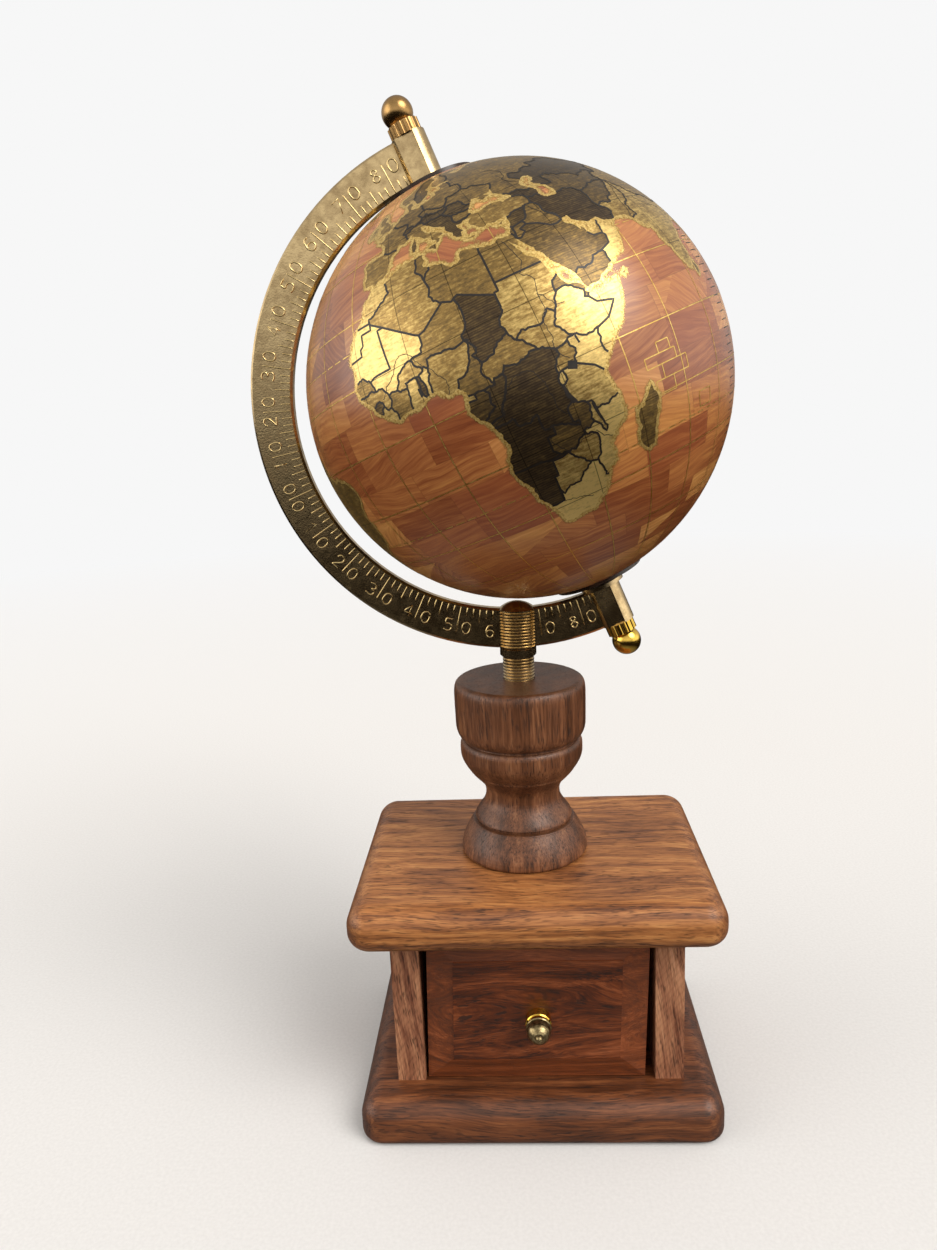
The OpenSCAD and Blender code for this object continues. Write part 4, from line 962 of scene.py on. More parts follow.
# %% Map lines: Europe and Asia
EURASIA_LINES = """
es~: -1.8 43.4, -7 43.7, -9.2 43.2, -8.8 41, -9.4 38.8, -8.9 37, -6.4 36.9, -5.6 36, -4.5 36.7,
  -2.2 36.8, -0.8 37.7, 0 38.7, -0.3 39.3, 0.5 40.5, 3.2 42.4
es-fr: -1.8 43.4, 0.5 42.7, 3.2 42.4
fr~: -1.8 43.4, -1.2 45.8, -2.5 47.3, -4.7 48.3, -1.6 48.7, -1.4 49.7, 0.2 49.6, 1.6 50.8, 2.5 51.1
fr~south: 3.2 42.4, 4 43.5, 6.2 43.1, 7.5 43.8
fr-de: 2.5 51.1, 5.9 49.5, 8.1 49, 7.5 47.6
fr-ch: 7.5 47.6, 6 46.2, 7 45.6
fr-it: 7 45.6, 7.5 43.8
it~: 7.5 43.8, 8.8 44.4, 10.3 43.2, 12.3 41.7, 14.5 40.6, 16 39, 15.7 38, 17.1 39, 16.6 39.7, 18.4 40,
  16 41.8, 14 42.7, 12.4 44.3, 12.5 45.6, 13.7 45.6
it-at: 13.7 45.6, 13.5 46.6, 10.5 46.8
it-ch: 10.5 46.8, 8.5 46, 7 45.6
ch-de: 7.5 47.6, 9.6 47.5, 10.5 46.8
de~: 2.5 51.1, 4.2 52.2, 5 53.3, 8.5 53.8, 8.6 55.5, 8.2 57, 10.5 57.6, 10.9 56.3, 9.8 54.8, 11 54,
  14.2 53.9
de-at: 10.5 46.8, 13 47.7, 13.8 48.7
de-cz: 13.8 48.7, 12.3 50.2, 15 50.9
de-pl: 15 50.9, 14.7 52, 14.2 53.9
cz-pl: 15 50.9, 18.8 49.5, 22.5 49
cz-at: 13.8 48.7, 16.9 48.5, 18.8 47.8, 22.1 48.3
cz-ua: 22.5 49, 22.1 48.3
at-yu: 13.7 45.6, 16.5 46.2, 18.9 45.9, 20.3 46.1
at-ro: 20.3 46.1, 22.9 47.9, 22.1 48.3
pl~: 14.2 53.9, 16.5 54.5, 18.6 54.6, 21 55.3, 21.1 57, 23 57.2, 24.3 57.8, 23.5 59.2, 28 59.6
pl-ua: 22.5 49, 24 50.8, 23.6 51.5
by-ua: 23.6 51.5, 30.5 52.3
pl-ru: 30.5 52.3, 31 55.5, 28 56, 28 59.6
ua-ru: 30.5 52.3, 34.4 51.8, 40 49.5, 38.2 47.2
ua~: 38.2 47.2, 35 46.2, 36.5 45.3, 33.7 44.4, 32.6 45.5, 33.5 46.1, 30.8 46.5, 29.7 45.2
ua-ro: 29.7 45.2, 28.2 45.5, 27 48.1, 22.1 48.3
yu~: 13.7 45.6, 15 44.7, 17 43, 19.5 41.8, 19.4 40.3, 21 38.8, 21.4 37, 23 36.5, 23.2 37.9, 24 38,
  22.8 39.6, 22.8 40.5, 24 40.2, 26 40.8
yu-ro: 20.3 46.1, 21.5 44.8, 22.7 44
yu-bg: 22.7 44, 22.4 42.3, 23 41.3, 26 41.4
gr-tr: 26 41.4, 26 40.8
ro-bg: 22.7 44, 25.5 43.7, 28.5 43.8
ro~: 29.7 45.2, 28.5 43.8
bg~: 28.5 43.8, 27.6 42.5, 28.1 41.9
bg-tr: 28.1 41.9, 26 41.4
tr~: 28.1 41.9, 29 41.3, 31.4 41.3, 35 42.1, 38 41, 41.5 41.5
tr~south: 36 36, 36.2 36.7, 34 36.3, 32.5 36.1, 30.6 36.9, 28.2 36.7, 26.4 38.4, 26.2 39.5, 27.5 40.4,
  26 40.8
tr-ge: 41.5 41.5, 43.7 40.9, 44.8 39.7
ge~west: 38.2 47.2, 37.8 45, 40 43.5
ge~east: 40 43.5, 41.5 42.3, 41.5 41.5
ge-ru: 40 43.5, 43.5 42.8, 47.5 41.5, 48.6 42
ru~caspian: 48.6 42, 47.5 43.5, 47.2 45, 49.5 46.5
kz~caspian: 49.5 46.5, 53 46.8, 53.1 45.2, 51 44.3, 51.2 43, 52.7 42
tm~: 52.7 42, 53.8 40.5, 53.8 37.3
ge~caspian: 48.6 42, 49.6 40.5, 48.9 38.4
ir~caspian: 48.9 38.4, 50.3 37.2, 53.8 37.3
ge-ir: 44.8 39.7, 46.5 38.9, 48 39.4, 48.9 38.4
tr-ir: 44.8 39.7, 44.3 37.3
tr-iq: 44.3 37.3, 42.4 37.2
tr-sy: 42.4 37.2, 38.5 36.8, 36 36
sy~: 36 36, 35.9 34.6, 35.1 33.1
il~: 35.1 33.1, 34.25 31.3
sy-il: 35.1 33.1, 35.8 32.7
sy=jo: 35.8 32.7, 38.8 33.3
il-jo: 35.8 32.7, 34.9 29.5
sy-iq: 42.4 37.2, 41.3 35.5, 38.8 33.3
jo=iq: 38.8 33.3, 39.2 32.1
jo=sa: 39.2 32.1, 37 31.5, 37.8 30.4, 36 29.2, 34.9 29.5
iq=sa: 39.2 32.1, 42 31.1, 44.7 29.2, 46.5 29.1, 48.2 29.7
iq-ir: 44.3 37.3, 46 35.5, 45.6 34, 47.8 31.5, 48.2 29.7
sa~: 34.9 29.5, 36.5 26.5, 38.5 23.5, 39 21.5, 41 18.8, 42.7 16.4
ye~: 42.7 16.4, 43.3 13.2, 43.7 12.6, 45.1 12.9, 48.5 14, 52.2 15.7
om~: 52.2 15.7, 55 17, 57.7 19, 59.8 22.4, 58.5 23.7, 56.4 24.9, 56.3 26.3
ae~: 56.3 26.3, 54.5 24.4, 51.6 24.2
sa~gulf: 51.6 24.2, 51.6 25.5, 51.2 26.1, 50.7 25.3, 50.2 26.6, 48.7 28, 48.2 29.7
sa-ye: 42.7 16.4, 44 17.4, 47 17, 49 18.6, 52 19
ye-om: 52 19, 52.2 15.7
sa=om: 52 19, 55 20, 55.7 22, 55.2 22.7
sa=ae: 55.2 22.7, 52.6 22.9, 51.6 24.2
ae-om: 55.2 22.7, 55.8 24.2, 56.3 26.3
ir~: 48.2 29.7, 50 30.2, 51.5 27.9, 54.5 26.6, 57 27.1, 58.5 25.6, 61.6 25.2
ir-pk: 61.6 25.2, 63.2 27.2, 60.9 29.8
ir-af: 60.9 29.8, 61 34.4, 61.2 35.6
ir-tm: 61.2 35.6, 59.3 37.5, 57 38.2, 53.8 37.3
af-tm: 61.2 35.6, 64.5 36.3, 66.5 37.4, 71.5 37.9, 74.9 37.2
af-pk: 60.9 29.8, 66.3 29.9, 69.3 31.9, 71 34.5, 74.9 37.2
tm-kz: 52.7 42, 56 41.3, 56 45, 61 44.2, 66 42.9, 68 41, 70.9 42.2, 74 43.2, 80.2 42.2
tm-cn: 74.9 37.2, 73.7 39.5, 80.2 42.2
kz-cn: 80.2 42.2, 80.3 45, 82.5 45.3, 85.6 48.4, 87.3 49.1
kz-ru: 49.5 46.5, 47 48.5, 48.7 50.6, 55 51, 60 50.8, 61 53.5, 70.8 55.2, 76.8 54.3, 80 50.8, 87.3 49.1
pk~: 61.6 25.2, 66.5 25.3, 68.2 23.7
pk-in: 68.2 23.7, 71 24.4, 70.3 27.9, 73.9 30.2, 75 32.6, 74.9 37.2
in~: 68.2 23.7, 70 22.3, 69 22.2, 70.8 20.8, 72.7 21.3, 73 18.5, 74.5 14.5, 76.2 10, 77.5 8.1,
  79.8 10.3, 80.2 13.5, 81 15.8, 84 18.3, 87 21.4, 89 21.8, 91.8 22.6, 92.3 20.8
in-cn: 74.9 37.2, 78.9 34, 79 32, 81.5 30.3, 88.9 27.5, 92 27.8, 97.3 28.2
in-mm: 92.3 20.8, 93.3 24, 97.3 28.2
mm~north: 92.3 20.8, 94.3 18.5, 94.3 16, 97 17, 98.6 13
mm~south: 98.6 13, 98.5 9.5, 98.3 8, 100.3 6, 101 3, 103.7 1.4, 103.3 4.5, 100.6 7.2, 99.3 9.4,
  100.2 13.3, 102.5 12.2, 104.8 10.4, 104.9 8.7, 106.7 10.3, 109.2 12, 108.5 15.5, 105.8 19, 108 21.5
mm-cn_west: 97.3 28.2, 98.7 27.4, 98 24, 101.2 21.3
mm-cn_east: 101.2 21.3, 103 22.6, 105.3 23.2, 108 21.5
mm-th: 98.6 13, 98.9 16, 97.8 18.5, 101.2 21.3
th-vn: 101.2 21.3, 102 17.9, 104.8 16.5, 105.6 14.4, 102.5 12.2
cn~: 108 21.5, 110.5 21, 113.5 22.3, 117 23.5, 119.7 26, 121.8 29, 121.8 31.2, 120 34.2, 119.3 35.2,
  122.5 37.2, 119 37.3, 117.8 39, 121.8 39.2, 121.8 40.9, 124.3 40
kr~: 124.3 40, 125 38, 126.5 37, 126.4 34.5, 129 35.2, 129.4 37.2, 127.5 39.5, 130.6 42.3
cn-kr: 124.3 40, 128 42, 130.6 42.3
cn-ru: 130.6 42.3, 131.2 45, 135 48.4, 130.8 48.8, 126 52.8, 121 53.2, 119.8 49.6, 116.7 49.9
cn-mn: 87.3 49.1, 91 45.2, 96.3 42.8, 105 41.6, 111.8 43.7, 116 47.8, 116.7 49.9
mn-ru: 87.3 49.1, 92.5 50.8, 98.3 52, 102.2 50.5, 108.5 49.4, 116.7 49.9
ru~: 130.6 42.3, 135.5 44.4, 140.3 48.3, 141.3 53, 137.5 54, 135.5 54.8, 143 59.3, 150 59.5, 155 59.3,
  160 61.8, 163.3 62.5, 160 60.5, 156.8 57.8, 156 52, 156.7 51, 160 53.2, 162 56, 163 58.5, 170 60,
  177.5 62.5, 179 64.5, 185 65.5, 190 66, 184 67.3, 178 69.3, 170 69.8, 160 69.7, 150 71.6, 140 72.6,
  130 71, 127 73.5, 113 73.8, 105 77.5, 95 76, 86 73.8, 80 73, 73 71.5, 69 73, 67 69.5, 60 69, 54 68.5,
  47 67.8, 43 66.2, 40 64.7, 37 64, 33 66.8, 41 66.8, 40 68, 33 69.5, 30.5 69.8
ru-fi: 30.5 69.8, 29 67, 30 63, 27.8 60.6
ru~baltic: 28 59.6, 30 60, 27.8 60.6
fi~: 27.8 60.6, 23 60, 21.3 61, 21.5 63, 25.3 65.2, 24.2 65.8
fi-se: 24.2 65.8, 23.5 67.8, 20.6 69.1
fi-no: 30.5 69.8, 28 70, 25.7 69, 20.6 69.1
se~: 24.2 65.8, 21.5 64.5, 17.5 61.5, 18.8 59.8, 16.5 57, 14.3 55.5, 12.9 55.5, 11.2 59
se-no: 11.2 59, 12.3 61.5, 13.9 64.2, 16 67.5, 20.6 69.1
no~: 11.2 59, 10 59, 7 58, 5.2 60, 5 62, 9 63.7, 12.5 66, 16 69, 21 70.1, 26 71, 30.5 69.8
gb~: -5.5 50.1, -3 50.7, 1.3 51.2, 1.6 52.7, 0.2 53, -1.5 55, -3 56, -2 57.6, -4 57.8, -3.2 58.6,
  -5 58.5, -5.8 56.5, -4.9 54.8, -3 54, -4.5 53.2, -4.3 52.3, -5.2 51.8, -3 51.4, -5.5 50.1
ie~: -6.3 52.2, -10 51.6, -9.8 54, -8.3 55.2, -6 55, -6.3 52.2
is~: -22 64, -18 63.4, -14 64.5, -15 66.2, -20 66, -23.5 66.3, -22 64
"""

# %% Map lines: the rest of the world
WORLD_LINES = """
lk~: 79.9 8, 80.2 9.6, 81.7 7.6, 80.5 6, 79.9 8
jp~: 130 33.3, 131.5 31.3, 132 33.5, 135.5 33.6, 139 34.8, 140.8 36, 142 39.5, 141.3 41.3, 145.5 43.3,
  141.8 45.4, 140 42, 140 39.5, 137 36.8, 132.5 35.3, 130 33.3
tw~: 120.2 23, 121 22, 121.9 25, 120.2 23
hn~: 108.7 19.2, 110.5 18.4, 111 20, 108.7 19.2
ph~: 120.5 16, 120.8 14, 124 12.8, 126.3 8, 125.3 6, 122 7.5, 123 10.5, 122 14, 122.2 18.4, 120.6 18.4,
  120.5 16
bo~: 109 1.5, 110 -1.5, 111.8 -3.4, 114.6 -4, 116.5 -2.5, 118 1, 119.2 5.2, 116.8 7, 113 3.2, 109 1.5
su~: 95.3 5.6, 98.5 3.8, 104 -1, 106 -3.5, 105.8 -5.9, 102.3 -4, 98.7 1.7, 95.3 5.6
jv~: 105.2 -6.8, 108.5 -6.6, 112.7 -6.9, 114.5 -8.7, 108 -7.8, 105.2 -6.8
ce~: 119 -3, 120 0.8, 125 1.6, 121 0.5, 123 -1, 121.5 -2, 122.6 -4.5, 120.4 -3, 119.6 -5.6, 119 -3
pg~: 131 -0.8, 134 -0.8, 135.2 -3.2, 138 -1.7, 144.5 -3.8, 147.8 -6.5, 150.8 -10.3, 146.5 -8.6,
  143 -9.2, 139 -8.1, 137.8 -5.3, 132.8 -4, 131 -0.8
au~: 114 -21.8, 113.5 -26, 115.7 -31.8, 115.2 -34.3, 118 -35, 123.7 -33.9, 131 -31.5, 135.5 -34.8,
  137.8 -32.8, 138.2 -35.6, 140.6 -38, 144 -38.6, 147 -38.6, 150 -37.3, 153.4 -28.5, 153 -25.2,
  149 -20.5, 146 -18.8, 145.3 -15, 142.5 -10.8, 141.5 -14, 140.5 -17.6, 136 -15.5, 136.7 -12.2,
  132.6 -11.5, 130.5 -12.8, 129.5 -15, 126 -14, 122.2 -18, 114 -21.8
wa=nt: 129 -14.9, 129 -31.7
nt=ql: 138 -16.5, 138 -26, 141 -26, 141 -38
ql=nw: 141 -29, 149 -29, 153.4 -28.5
ta~: 144.7 -41, 148.3 -41, 147 -43.6, 144.7 -41
nz~: 172.7 -34.5, 175.5 -37, 178.4 -37.8, 175.3 -41.6, 174 -42, 171 -45.8, 168.5 -46.6, 166.6 -45.8,
  171.5 -42, 173.5 -40.5, 175 -39, 174.6 -37, 172.7 -34.5
ca~: -56 52, -60 54.5, -64.5 60, -70 61, -78 62.4, -77 57, -80 55, -80 51.5, -83 55, -92.5 57, -94.5 60,
  -88 64, -82 68, -95 68.5, -115 68.5, -128 70, -141 69.6
al~: -141 69.6, -156 71.3, -166 68.2, -161.5 66.3, -168 65.6, -161 64, -166 61.5, -162 58.6,
  -157.5 58.5, -165 54.5, -154 58.5, -151.5 61, -145 60.3, -137 58.5, -130.3 55.2
ca~west: -130.3 55.2, -127 51, -122.8 49
us~: -122.8 49, -124.6 48.3, -124 43, -124.3 40.2, -120.6 34.6, -117.2 32.5
mx~: -117.2 32.5, -115 28.5, -112 25, -109.8 23, -111 26, -114.8 31.6, -112 29, -109 25.5, -105.5 22,
  -105.4 20, -100 17, -94.5 16.2, -92 14.5
ct~: -92 14.5, -87.6 13, -85.5 10, -83 8.3, -80 7.5, -77.9 7.3
ct~east: -88.2 18.5, -88.5 15.8, -83.3 15, -83.7 11, -79.6 9.5, -77.3 8.6
mx~east: -88.2 18.5, -87 21.5, -90.3 21, -91.5 18.5, -95 18.7, -97.5 22, -97.3 25.8
us~east: -97.3 25.8, -94.8 29.3, -90 29.2, -84.3 30, -82.7 27.8, -81.2 25.2, -80 27, -81.3 31,
  -75.7 35.3, -75.5 38.5, -71 41.5, -70 43.8, -67 44.9
ca~east: -67 44.9, -61 45.3, -65 48, -70 47, -66.5 50.2, -60 50.2, -56 52
ca=al: -141 69.6, -141 60.5, -135 59, -130.3 55.2
ca=us: -122.8 49, -95 49, -88 48, -83 45.5, -79 43, -71.5 45.1, -67 44.9
us=mx: -117.2 32.5, -111 31.4, -106.5 31.8, -103 29, -99.3 26.8, -97.3 25.8
mx-ct: -92 14.5, -91 17.3, -88.2 18.5
ct-co: -77.9 7.3, -77.3 8.6
co~: -77.3 8.6, -75.5 10.8, -71.3 12.3
co~west: -77.9 7.3, -77.5 4, -78.8 1.4
ve~: -71.3 12.3, -68 11, -62 10.7, -60 8.5
gy~: -60 8.5, -57 6, -51.7 4.2
br~: -51.7 4.2, -50 0.5, -44.5 -2.5, -39 -3, -35.2 -5.5, -34.9 -8, -39 -13, -39.2 -18, -41 -22,
  -45 -23.7, -48.5 -26, -49.5 -29.5, -53.4 -33.7
uy~: -53.4 -33.7, -55 -34.9, -58.4 -34
ar~: -58.4 -34, -56.7 -36.4, -62 -39, -65 -41, -63.7 -42.7, -67.5 -46.3, -65.8 -48, -69 -51, -68.3 -54.8
cl~: -68.3 -54.8, -74 -52, -75.5 -47, -73 -42, -73.5 -37, -71.5 -32, -70.3 -18.4
pe~: -70.3 -18.4, -76 -14, -81.2 -6, -80.3 -3.4
ec~: -80.3 -3.4, -80.9 -1, -78.8 1.4
co-ve: -71.3 12.3, -72.5 8, -67.5 6, -67 1.3
ve-br: -67 1.3, -64 2, -60.7 5
ve-gy: -60 8.5, -60.7 5
gy-br: -60.7 5, -59.5 1.5, -54.5 2.3, -51.7 4.2
co-br: -67 1.3, -69.8 -4.2
co-pe: -69.8 -4.2, -75.3 -0.2
co-ec: -75.3 -0.2, -78.8 1.4
pe-ec: -75.3 -0.2, -80.3 -3.4
pe-br: -69.8 -4.2, -73.8 -7.2, -70.5 -9.5, -69.5 -11
pe-bo: -69.5 -11, -69 -15.5, -69.5 -17.6
cl-pe: -70.3 -18.4, -69.5 -17.6
bo-br: -69.5 -11, -65.3 -10, -60.2 -13.7, -57.5 -18, -58 -19.8
bo-cl: -69.5 -17.6, -67.2 -22.8
bo-ar: -67.2 -22.8, -62.6 -22.2
py-bo: -62.6 -22.2, -58 -19.8
py-br: -58 -19.8, -55.6 -22.3, -54.6 -25.6
py-ar: -62.6 -22.2, -57.7 -25.2, -58.5 -27.3, -54.6 -25.6
ar-br: -54.6 -25.6, -53.8 -27.1, -57.6 -30.2
uy-br: -57.6 -30.2, -53.4 -33.7
ar-uy: -57.6 -30.2, -58.4 -34
ar-cl: -67.2 -22.8, -70 -32, -71.5 -40, -72 -49, -68.5 -52.3, -68.3 -54.8
gl~: -45 60, -40 65, -25 69.5, -18 75, -12 81.3, -32 83.5, -60 82, -67 79, -72 78, -58 75.5, -54 70,
  -52 64.5, -45 60
bf~: -62 66, -66 62.5, -75 64.5, -73 68, -85 70, -88 73.5, -77 72.5, -68 70, -62 66
el~: -75 78.5, -62 82.3, -85 82.2, -92 80, -80 76.3, -75 78.5
vi~: -105 73, -100 71, -112 68.8, -117 70, -115 73, -105 73
cu~: -84.8 21.9, -80 23.1, -74.3 20.2, -77.5 19.9, -84.8 21.9
hi~: -74.4 18.4, -73 19.9, -68.6 18.6, -71.5 17.8, -74.4 18.4
nf~: -59 47.7, -55.5 51.5, -53 47, -59 47.7
si~: 12.6 38, 15.6 38.2, 15.1 36.7, 12.6 38
sc~: 8.3 39, 8.4 41, 9.6 42.9, 9.8 40, 9 39, 8.3 39
cr~: 23.6 35.5, 26.2 35.2, 24.8 34.9, 23.6 35.5
cy~: 32.3 35, 34.5 35.6, 33.8 34.8, 32.3 35
zn~: 52.5 71, 56 71, 60 76, 68 76.8, 58 73, 52.5 71
sv~: 11 79, 20 80, 25 80, 17 76.8, 11 79
sq~: 53.3 12.5, 54.5 12.7, 54 12.2, 53.3 12.5
"""

# %% Countries
# Each country: how bright its foil is (its printed tone, and in the far south, South Africa above all,
# also a painted reflection of the pale floor), how much of it is hatched, and the lines around it.
COUNTRY_TEXT = """
morocco 0.74 0: ma~ ma-dz ma=eh
western_coast 0.9 0: eh~ ma=eh eh=dz eh=mr
mauritania 0.86 0: mr~ eh=mr dz=mr mr=ml sn-mr
mali 0.84 0: mr=ml dz=ml ne-ml ml-bf ml-ci ml-gn ml-sn
algeria 0.55 0: dz~ ma-dz eh=dz dz=mr dz=ml dz=ne dz-ly dz-tn
tunisia 0.45 0.3: tn~ dz-tn tn-ly
libya 0.46 0: ly~ tn-ly dz-ly ly=ne ly=td ly=sd ly=eg
egypt 0.48 0.2: eg~ eg-il eg~north ly=eg eg=sd
sudan 0.66 0: sd~ eg=sd ly=sd td-sd cf-sd sd-ss et-sd sd-er
south_sudan 0.62 0: sd-ss cf-ss cd-ss ug-ss ke-ss et-ss
niger 0.5 0.2: dz=ne ly=ne ne-td ne-ng ne-bj ne-bf ne-ml
chad 0.16 1: ly=td td-sd td-cf cm-td ng-td ne-td
senegal 0.5 0.4: sn~ sn-mr ml-sn sn-gn
guinea 0.6 0: gn~ sn-gn ml-gn gn-ci gn-lr gn-sl
sierra_leone 0.3 0.7: sl~ gn-sl sl-lr
liberia 0.7 0: lr~ sl-lr gn-lr lr-ci
ivory_coast 0.5 0.3: ci~ lr-ci gn-ci ml-ci ci-bf ci-gh
burkina 0.62 0: ml-bf ne-bf bf-bj bf-tg gh-bf ci-bf
ghana 0.72 0: gh~ ci-gh gh-bf gh-tg
togo 0.25 0.8: tg~ gh-tg bf-tg tg-bj
benin 0.8 0: bj~ tg-bj bf-bj ne-bj bj-ng
nigeria 0.6 0: ng~ bj-ng ne-ng ng-td ng-cm
cameroon 0.42 0.3: cm~ ng-cm cm-td cm-cf cm-cg cm-ga cm-gq
equatorial_guinea 0.7 0: gq~ cm-gq gq=ga
gabon 0.3 0.5: ga~ gq=ga cm-ga ga-cg
congo 0.2 0.8: cg~ ga-cg cm-cg cg-cf cg-cd
central_africa 0.5 0.2: cm-cf td-cf cf-sd cf-ss cf-cd cg-cf
congo_basin 0.12 1: cd~ cg-cd cf-cd cd-ss cd-ug cd-rw cd-tz cd-zm cd-ao
uganda 0.5 0.2: cd-ug ug-ss ke-ug ug=tz ug-rw
rwanda 0.85 0: cd-rw ug-rw rw-tz
kenya 0.8 0: ke~ tz=ke ke-ug ke-ss ke-et ke-so
ethiopia 0.78 0: et-ss et-sd et-er et=so ke-et
eritrea 0.35 0.6: er~ er-so sd-er et-er
somalia 0.8 0: so~ ke-so et=so er-so
tanzania 0.7 0.2: tz~ tz=ke ug=tz rw-tz cd-tz zm-tz mw-tz tz-mz
angola 0.1 1: ao~ cd-ao ao=zm ao=na
zambia 0.34 0.6: cd-zm zm-tz zm-mw zm-mz zm-zw zm-na ao=zm
malawi 0.7 0: zm-mw mw-tz mw-mz
mozambique 0.9 0: mz~ tz-mz mw-mz zm-mz zw-mz za-mz
zimbabwe 0.6 0.2: zm-zw zw-mz zw-za bw-zw
namibia 0.08 0.9: na~ ao=na zm-na na=bw na=za
botswana 0.7 0.2: na=bw bw-zw bw-za
south_africa 0.97 0: za~ na=za bw-za zw-za za-mz
madagascar 0.42 0.4: mg~
spain 0.5 0: es~ es-fr
france 0.45 0.2: fr~ fr-de fr-ch fr-it fr~south es-fr
italy 0.5 0: it~ fr-it it-ch it-at
switzerland 0.2 0.8: ch-de it-ch fr-ch
germany 0.4 0.2: de~ fr-de ch-de de-at de-cz de-pl
austria 0.2 0.8: de-at cz-at at-ro at-yu it-at
czechia 0.4 0.3: de-cz cz-pl cz-ua cz-at
poland 0.45 0.2: pl~ de-pl cz-pl pl-ua by-ua pl-ru
ukraine 0.42 0.1: ua~ ua-ru by-ua pl-ua cz-ua ua-ro
balkans 0.2 0.8: yu~ at-yu yu-ro yu-bg gr-tr
romania 0.24 0.6: ro~ ua-ro at-ro yu-ro ro-bg
bulgaria 0.4 0.3: bg~ ro-bg yu-bg bg-tr
turkey 0.5 0: tr~ bg-tr gr-tr tr~south tr-sy tr-iq tr-ir tr-ge
caucasus 0.12 1: ge-ru ge~caspian ge-ir tr-ge ge~east
syria 0.2 0.9: sy~ tr-sy sy-iq sy=jo sy-il
israel 0.3 0.6: il~ sy-il il-jo eg-il
jordan 0.4 0.3: sy=jo jo=iq jo=sa il-jo
iraq 0.42 0.2: tr-iq iq-ir iq=sa jo=iq sy-iq
arabia 0.3 0.5: sa~ jo=sa iq=sa sa~gulf sa=ae sa=om sa-ye
yemen 0.34 0.3: ye~ sa-ye ye-om
oman 0.85 0: om~ ae-om sa=om ye-om
emirates 0.6 0: ae~ ae-om sa=ae
iran 0.1 1: ir~ ir-pk ir-af ir-tm ir~caspian ge-ir tr-ir iq-ir
afghanistan 0.3 0.5: ir-af af-tm af-pk
pakistan 0.6 0: pk~ ir-pk af-pk pk-in
turkestan 0.3 0.6: tm~ tm-kz tm-cn af-tm ir-tm
kazakhstan 0.12 0.8: kz~caspian kz-ru kz-cn tm-kz
india 0.66 0: in~ pk-in in-cn in-mm
indochina 0.5 0.2: mm~south mm-th mm-cn_east
burma 0.4 0.3: mm~north mm-th in-mm mm-cn_west
china 0.5 0.2: cn~ cn-kr cn-ru cn-mn kz-cn tm-cn in-cn mm-cn_west mm-cn_east
mongolia 0.2 0.8: cn-mn mn-ru
korea 0.5 0: kr~ cn-kr
russia 0.42 0.2: ru~ ru-fi ru~baltic pl-ru ua-ru ge~west ge-ru ru~caspian kz-ru mn-ru cn-ru
finland 0.4 0.2: fi~ ru-fi fi-se fi-no
sweden 0.3 0.5: se~ fi-se se-no
norway 0.5 0: no~ se-no fi-no
alaska 0.6 0: al~ ca=al
canada 0.4 0.2: ca~ ca=al ca~west ca=us ca~east
united_states 0.6 0: us~ ca=us us~east us=mx
mexico 0.3 0.5: mx~ us=mx mx~east mx-ct
central_america 0.6 0: ct~ mx-ct ct~east ct-co
colombia 0.5 0: co~ co~west ct-co co-ve co-br co-pe co-ec
venezuela 0.3 0.6: ve~ co-ve ve-br ve-gy
guiana 0.6 0: gy~ ve-gy gy-br
brazil 0.55 0: br~ gy-br ve-br co-br pe-br bo-br py-br ar-br uy-br
uruguay 0.3 0.6: uy~ uy-br ar-uy
argentina 0.5 0: ar~ ar-uy ar-br py-ar bo-ar ar-cl
chile 0.2 0.8: cl~ ar-cl bo-cl cl-pe
bolivia 0.25 0.7: pe-bo bo-cl bo-ar py-bo bo-br
paraguay 0.6 0: py-bo py-br py-ar
peru 0.6 0: pe~ cl-pe pe-bo pe-br co-pe pe-ec
ecuador 0.3 0.5: ec~ co-ec pe-ec
"""

# %% [markdown]
# ## From lines to a printed map
#
# A line with a point every few hundred kilometres looks cut with scissors. Halving each piece and
# pushing the middle sideways by a little gives it the crooked run of a real coast, at every scale.
# Borders that were ruled stay straight. The pushes come from Blender's own noise at that place, so
# they are the same every time.

# %% Rough lines
FINE_STEP, COARSE_STEP = 0.7, 1.5
NEAR_FRONT = (-30, 80, -45, 60)


def near_front(point):
    """Whether a place is in the half of the world that faces the front at rest."""
    west, east, south, north = NEAR_FRONT
    return west < point.x < east and south < point.y < north


def roughened(a, b, push):
    """The points after a, up to b, of a crooked line between them."""
    step = FINE_STEP if near_front(a) else COARSE_STEP
    gap = b - a
    if gap.length < step:
        return [b]
    middle = (a + b) / 2
    shove = noise.noise(Vector((middle.x * 1.7, middle.y * 1.7, 3.0))) * push
    middle += Vector((-gap.y, gap.x)) * shove
    return roughened(a, middle, push) + roughened(middle, b, push)


def rows_of(text):
    """The rows of a block of text. A row that is indented carries on the row above it."""
    return text.strip().replace("\n  ", " ").splitlines()


def read_lines(text):
    """The named lines of a block of text, as lists of longitude and latitude."""
    lines = {}
    for row in rows_of(text):
        name, _, places = row.partition(":")
        rough = [Vector([float(v) for v in place.split()]) for place in places.split(",")]
        push = 0.0 if "=" in name else 0.36
        points = rough[:1]
        for a, b in zip(rough, rough[1:]):
            points += roughened(a, b, push)
        lines[name] = points
    return lines


map_lines = {}
for block in (AFRICA_LINES, EURASIA_LINES, WORLD_LINES):
    map_lines.update(read_lines(block))
print("map:", len(map_lines), "lines,", sum(len(v) for v in map_lines.values()), "points")

# %% Country outlines
def key_of(point):
    """A point as a pair that can be looked up."""
    return (round(point.x, 4), round(point.y, 4))


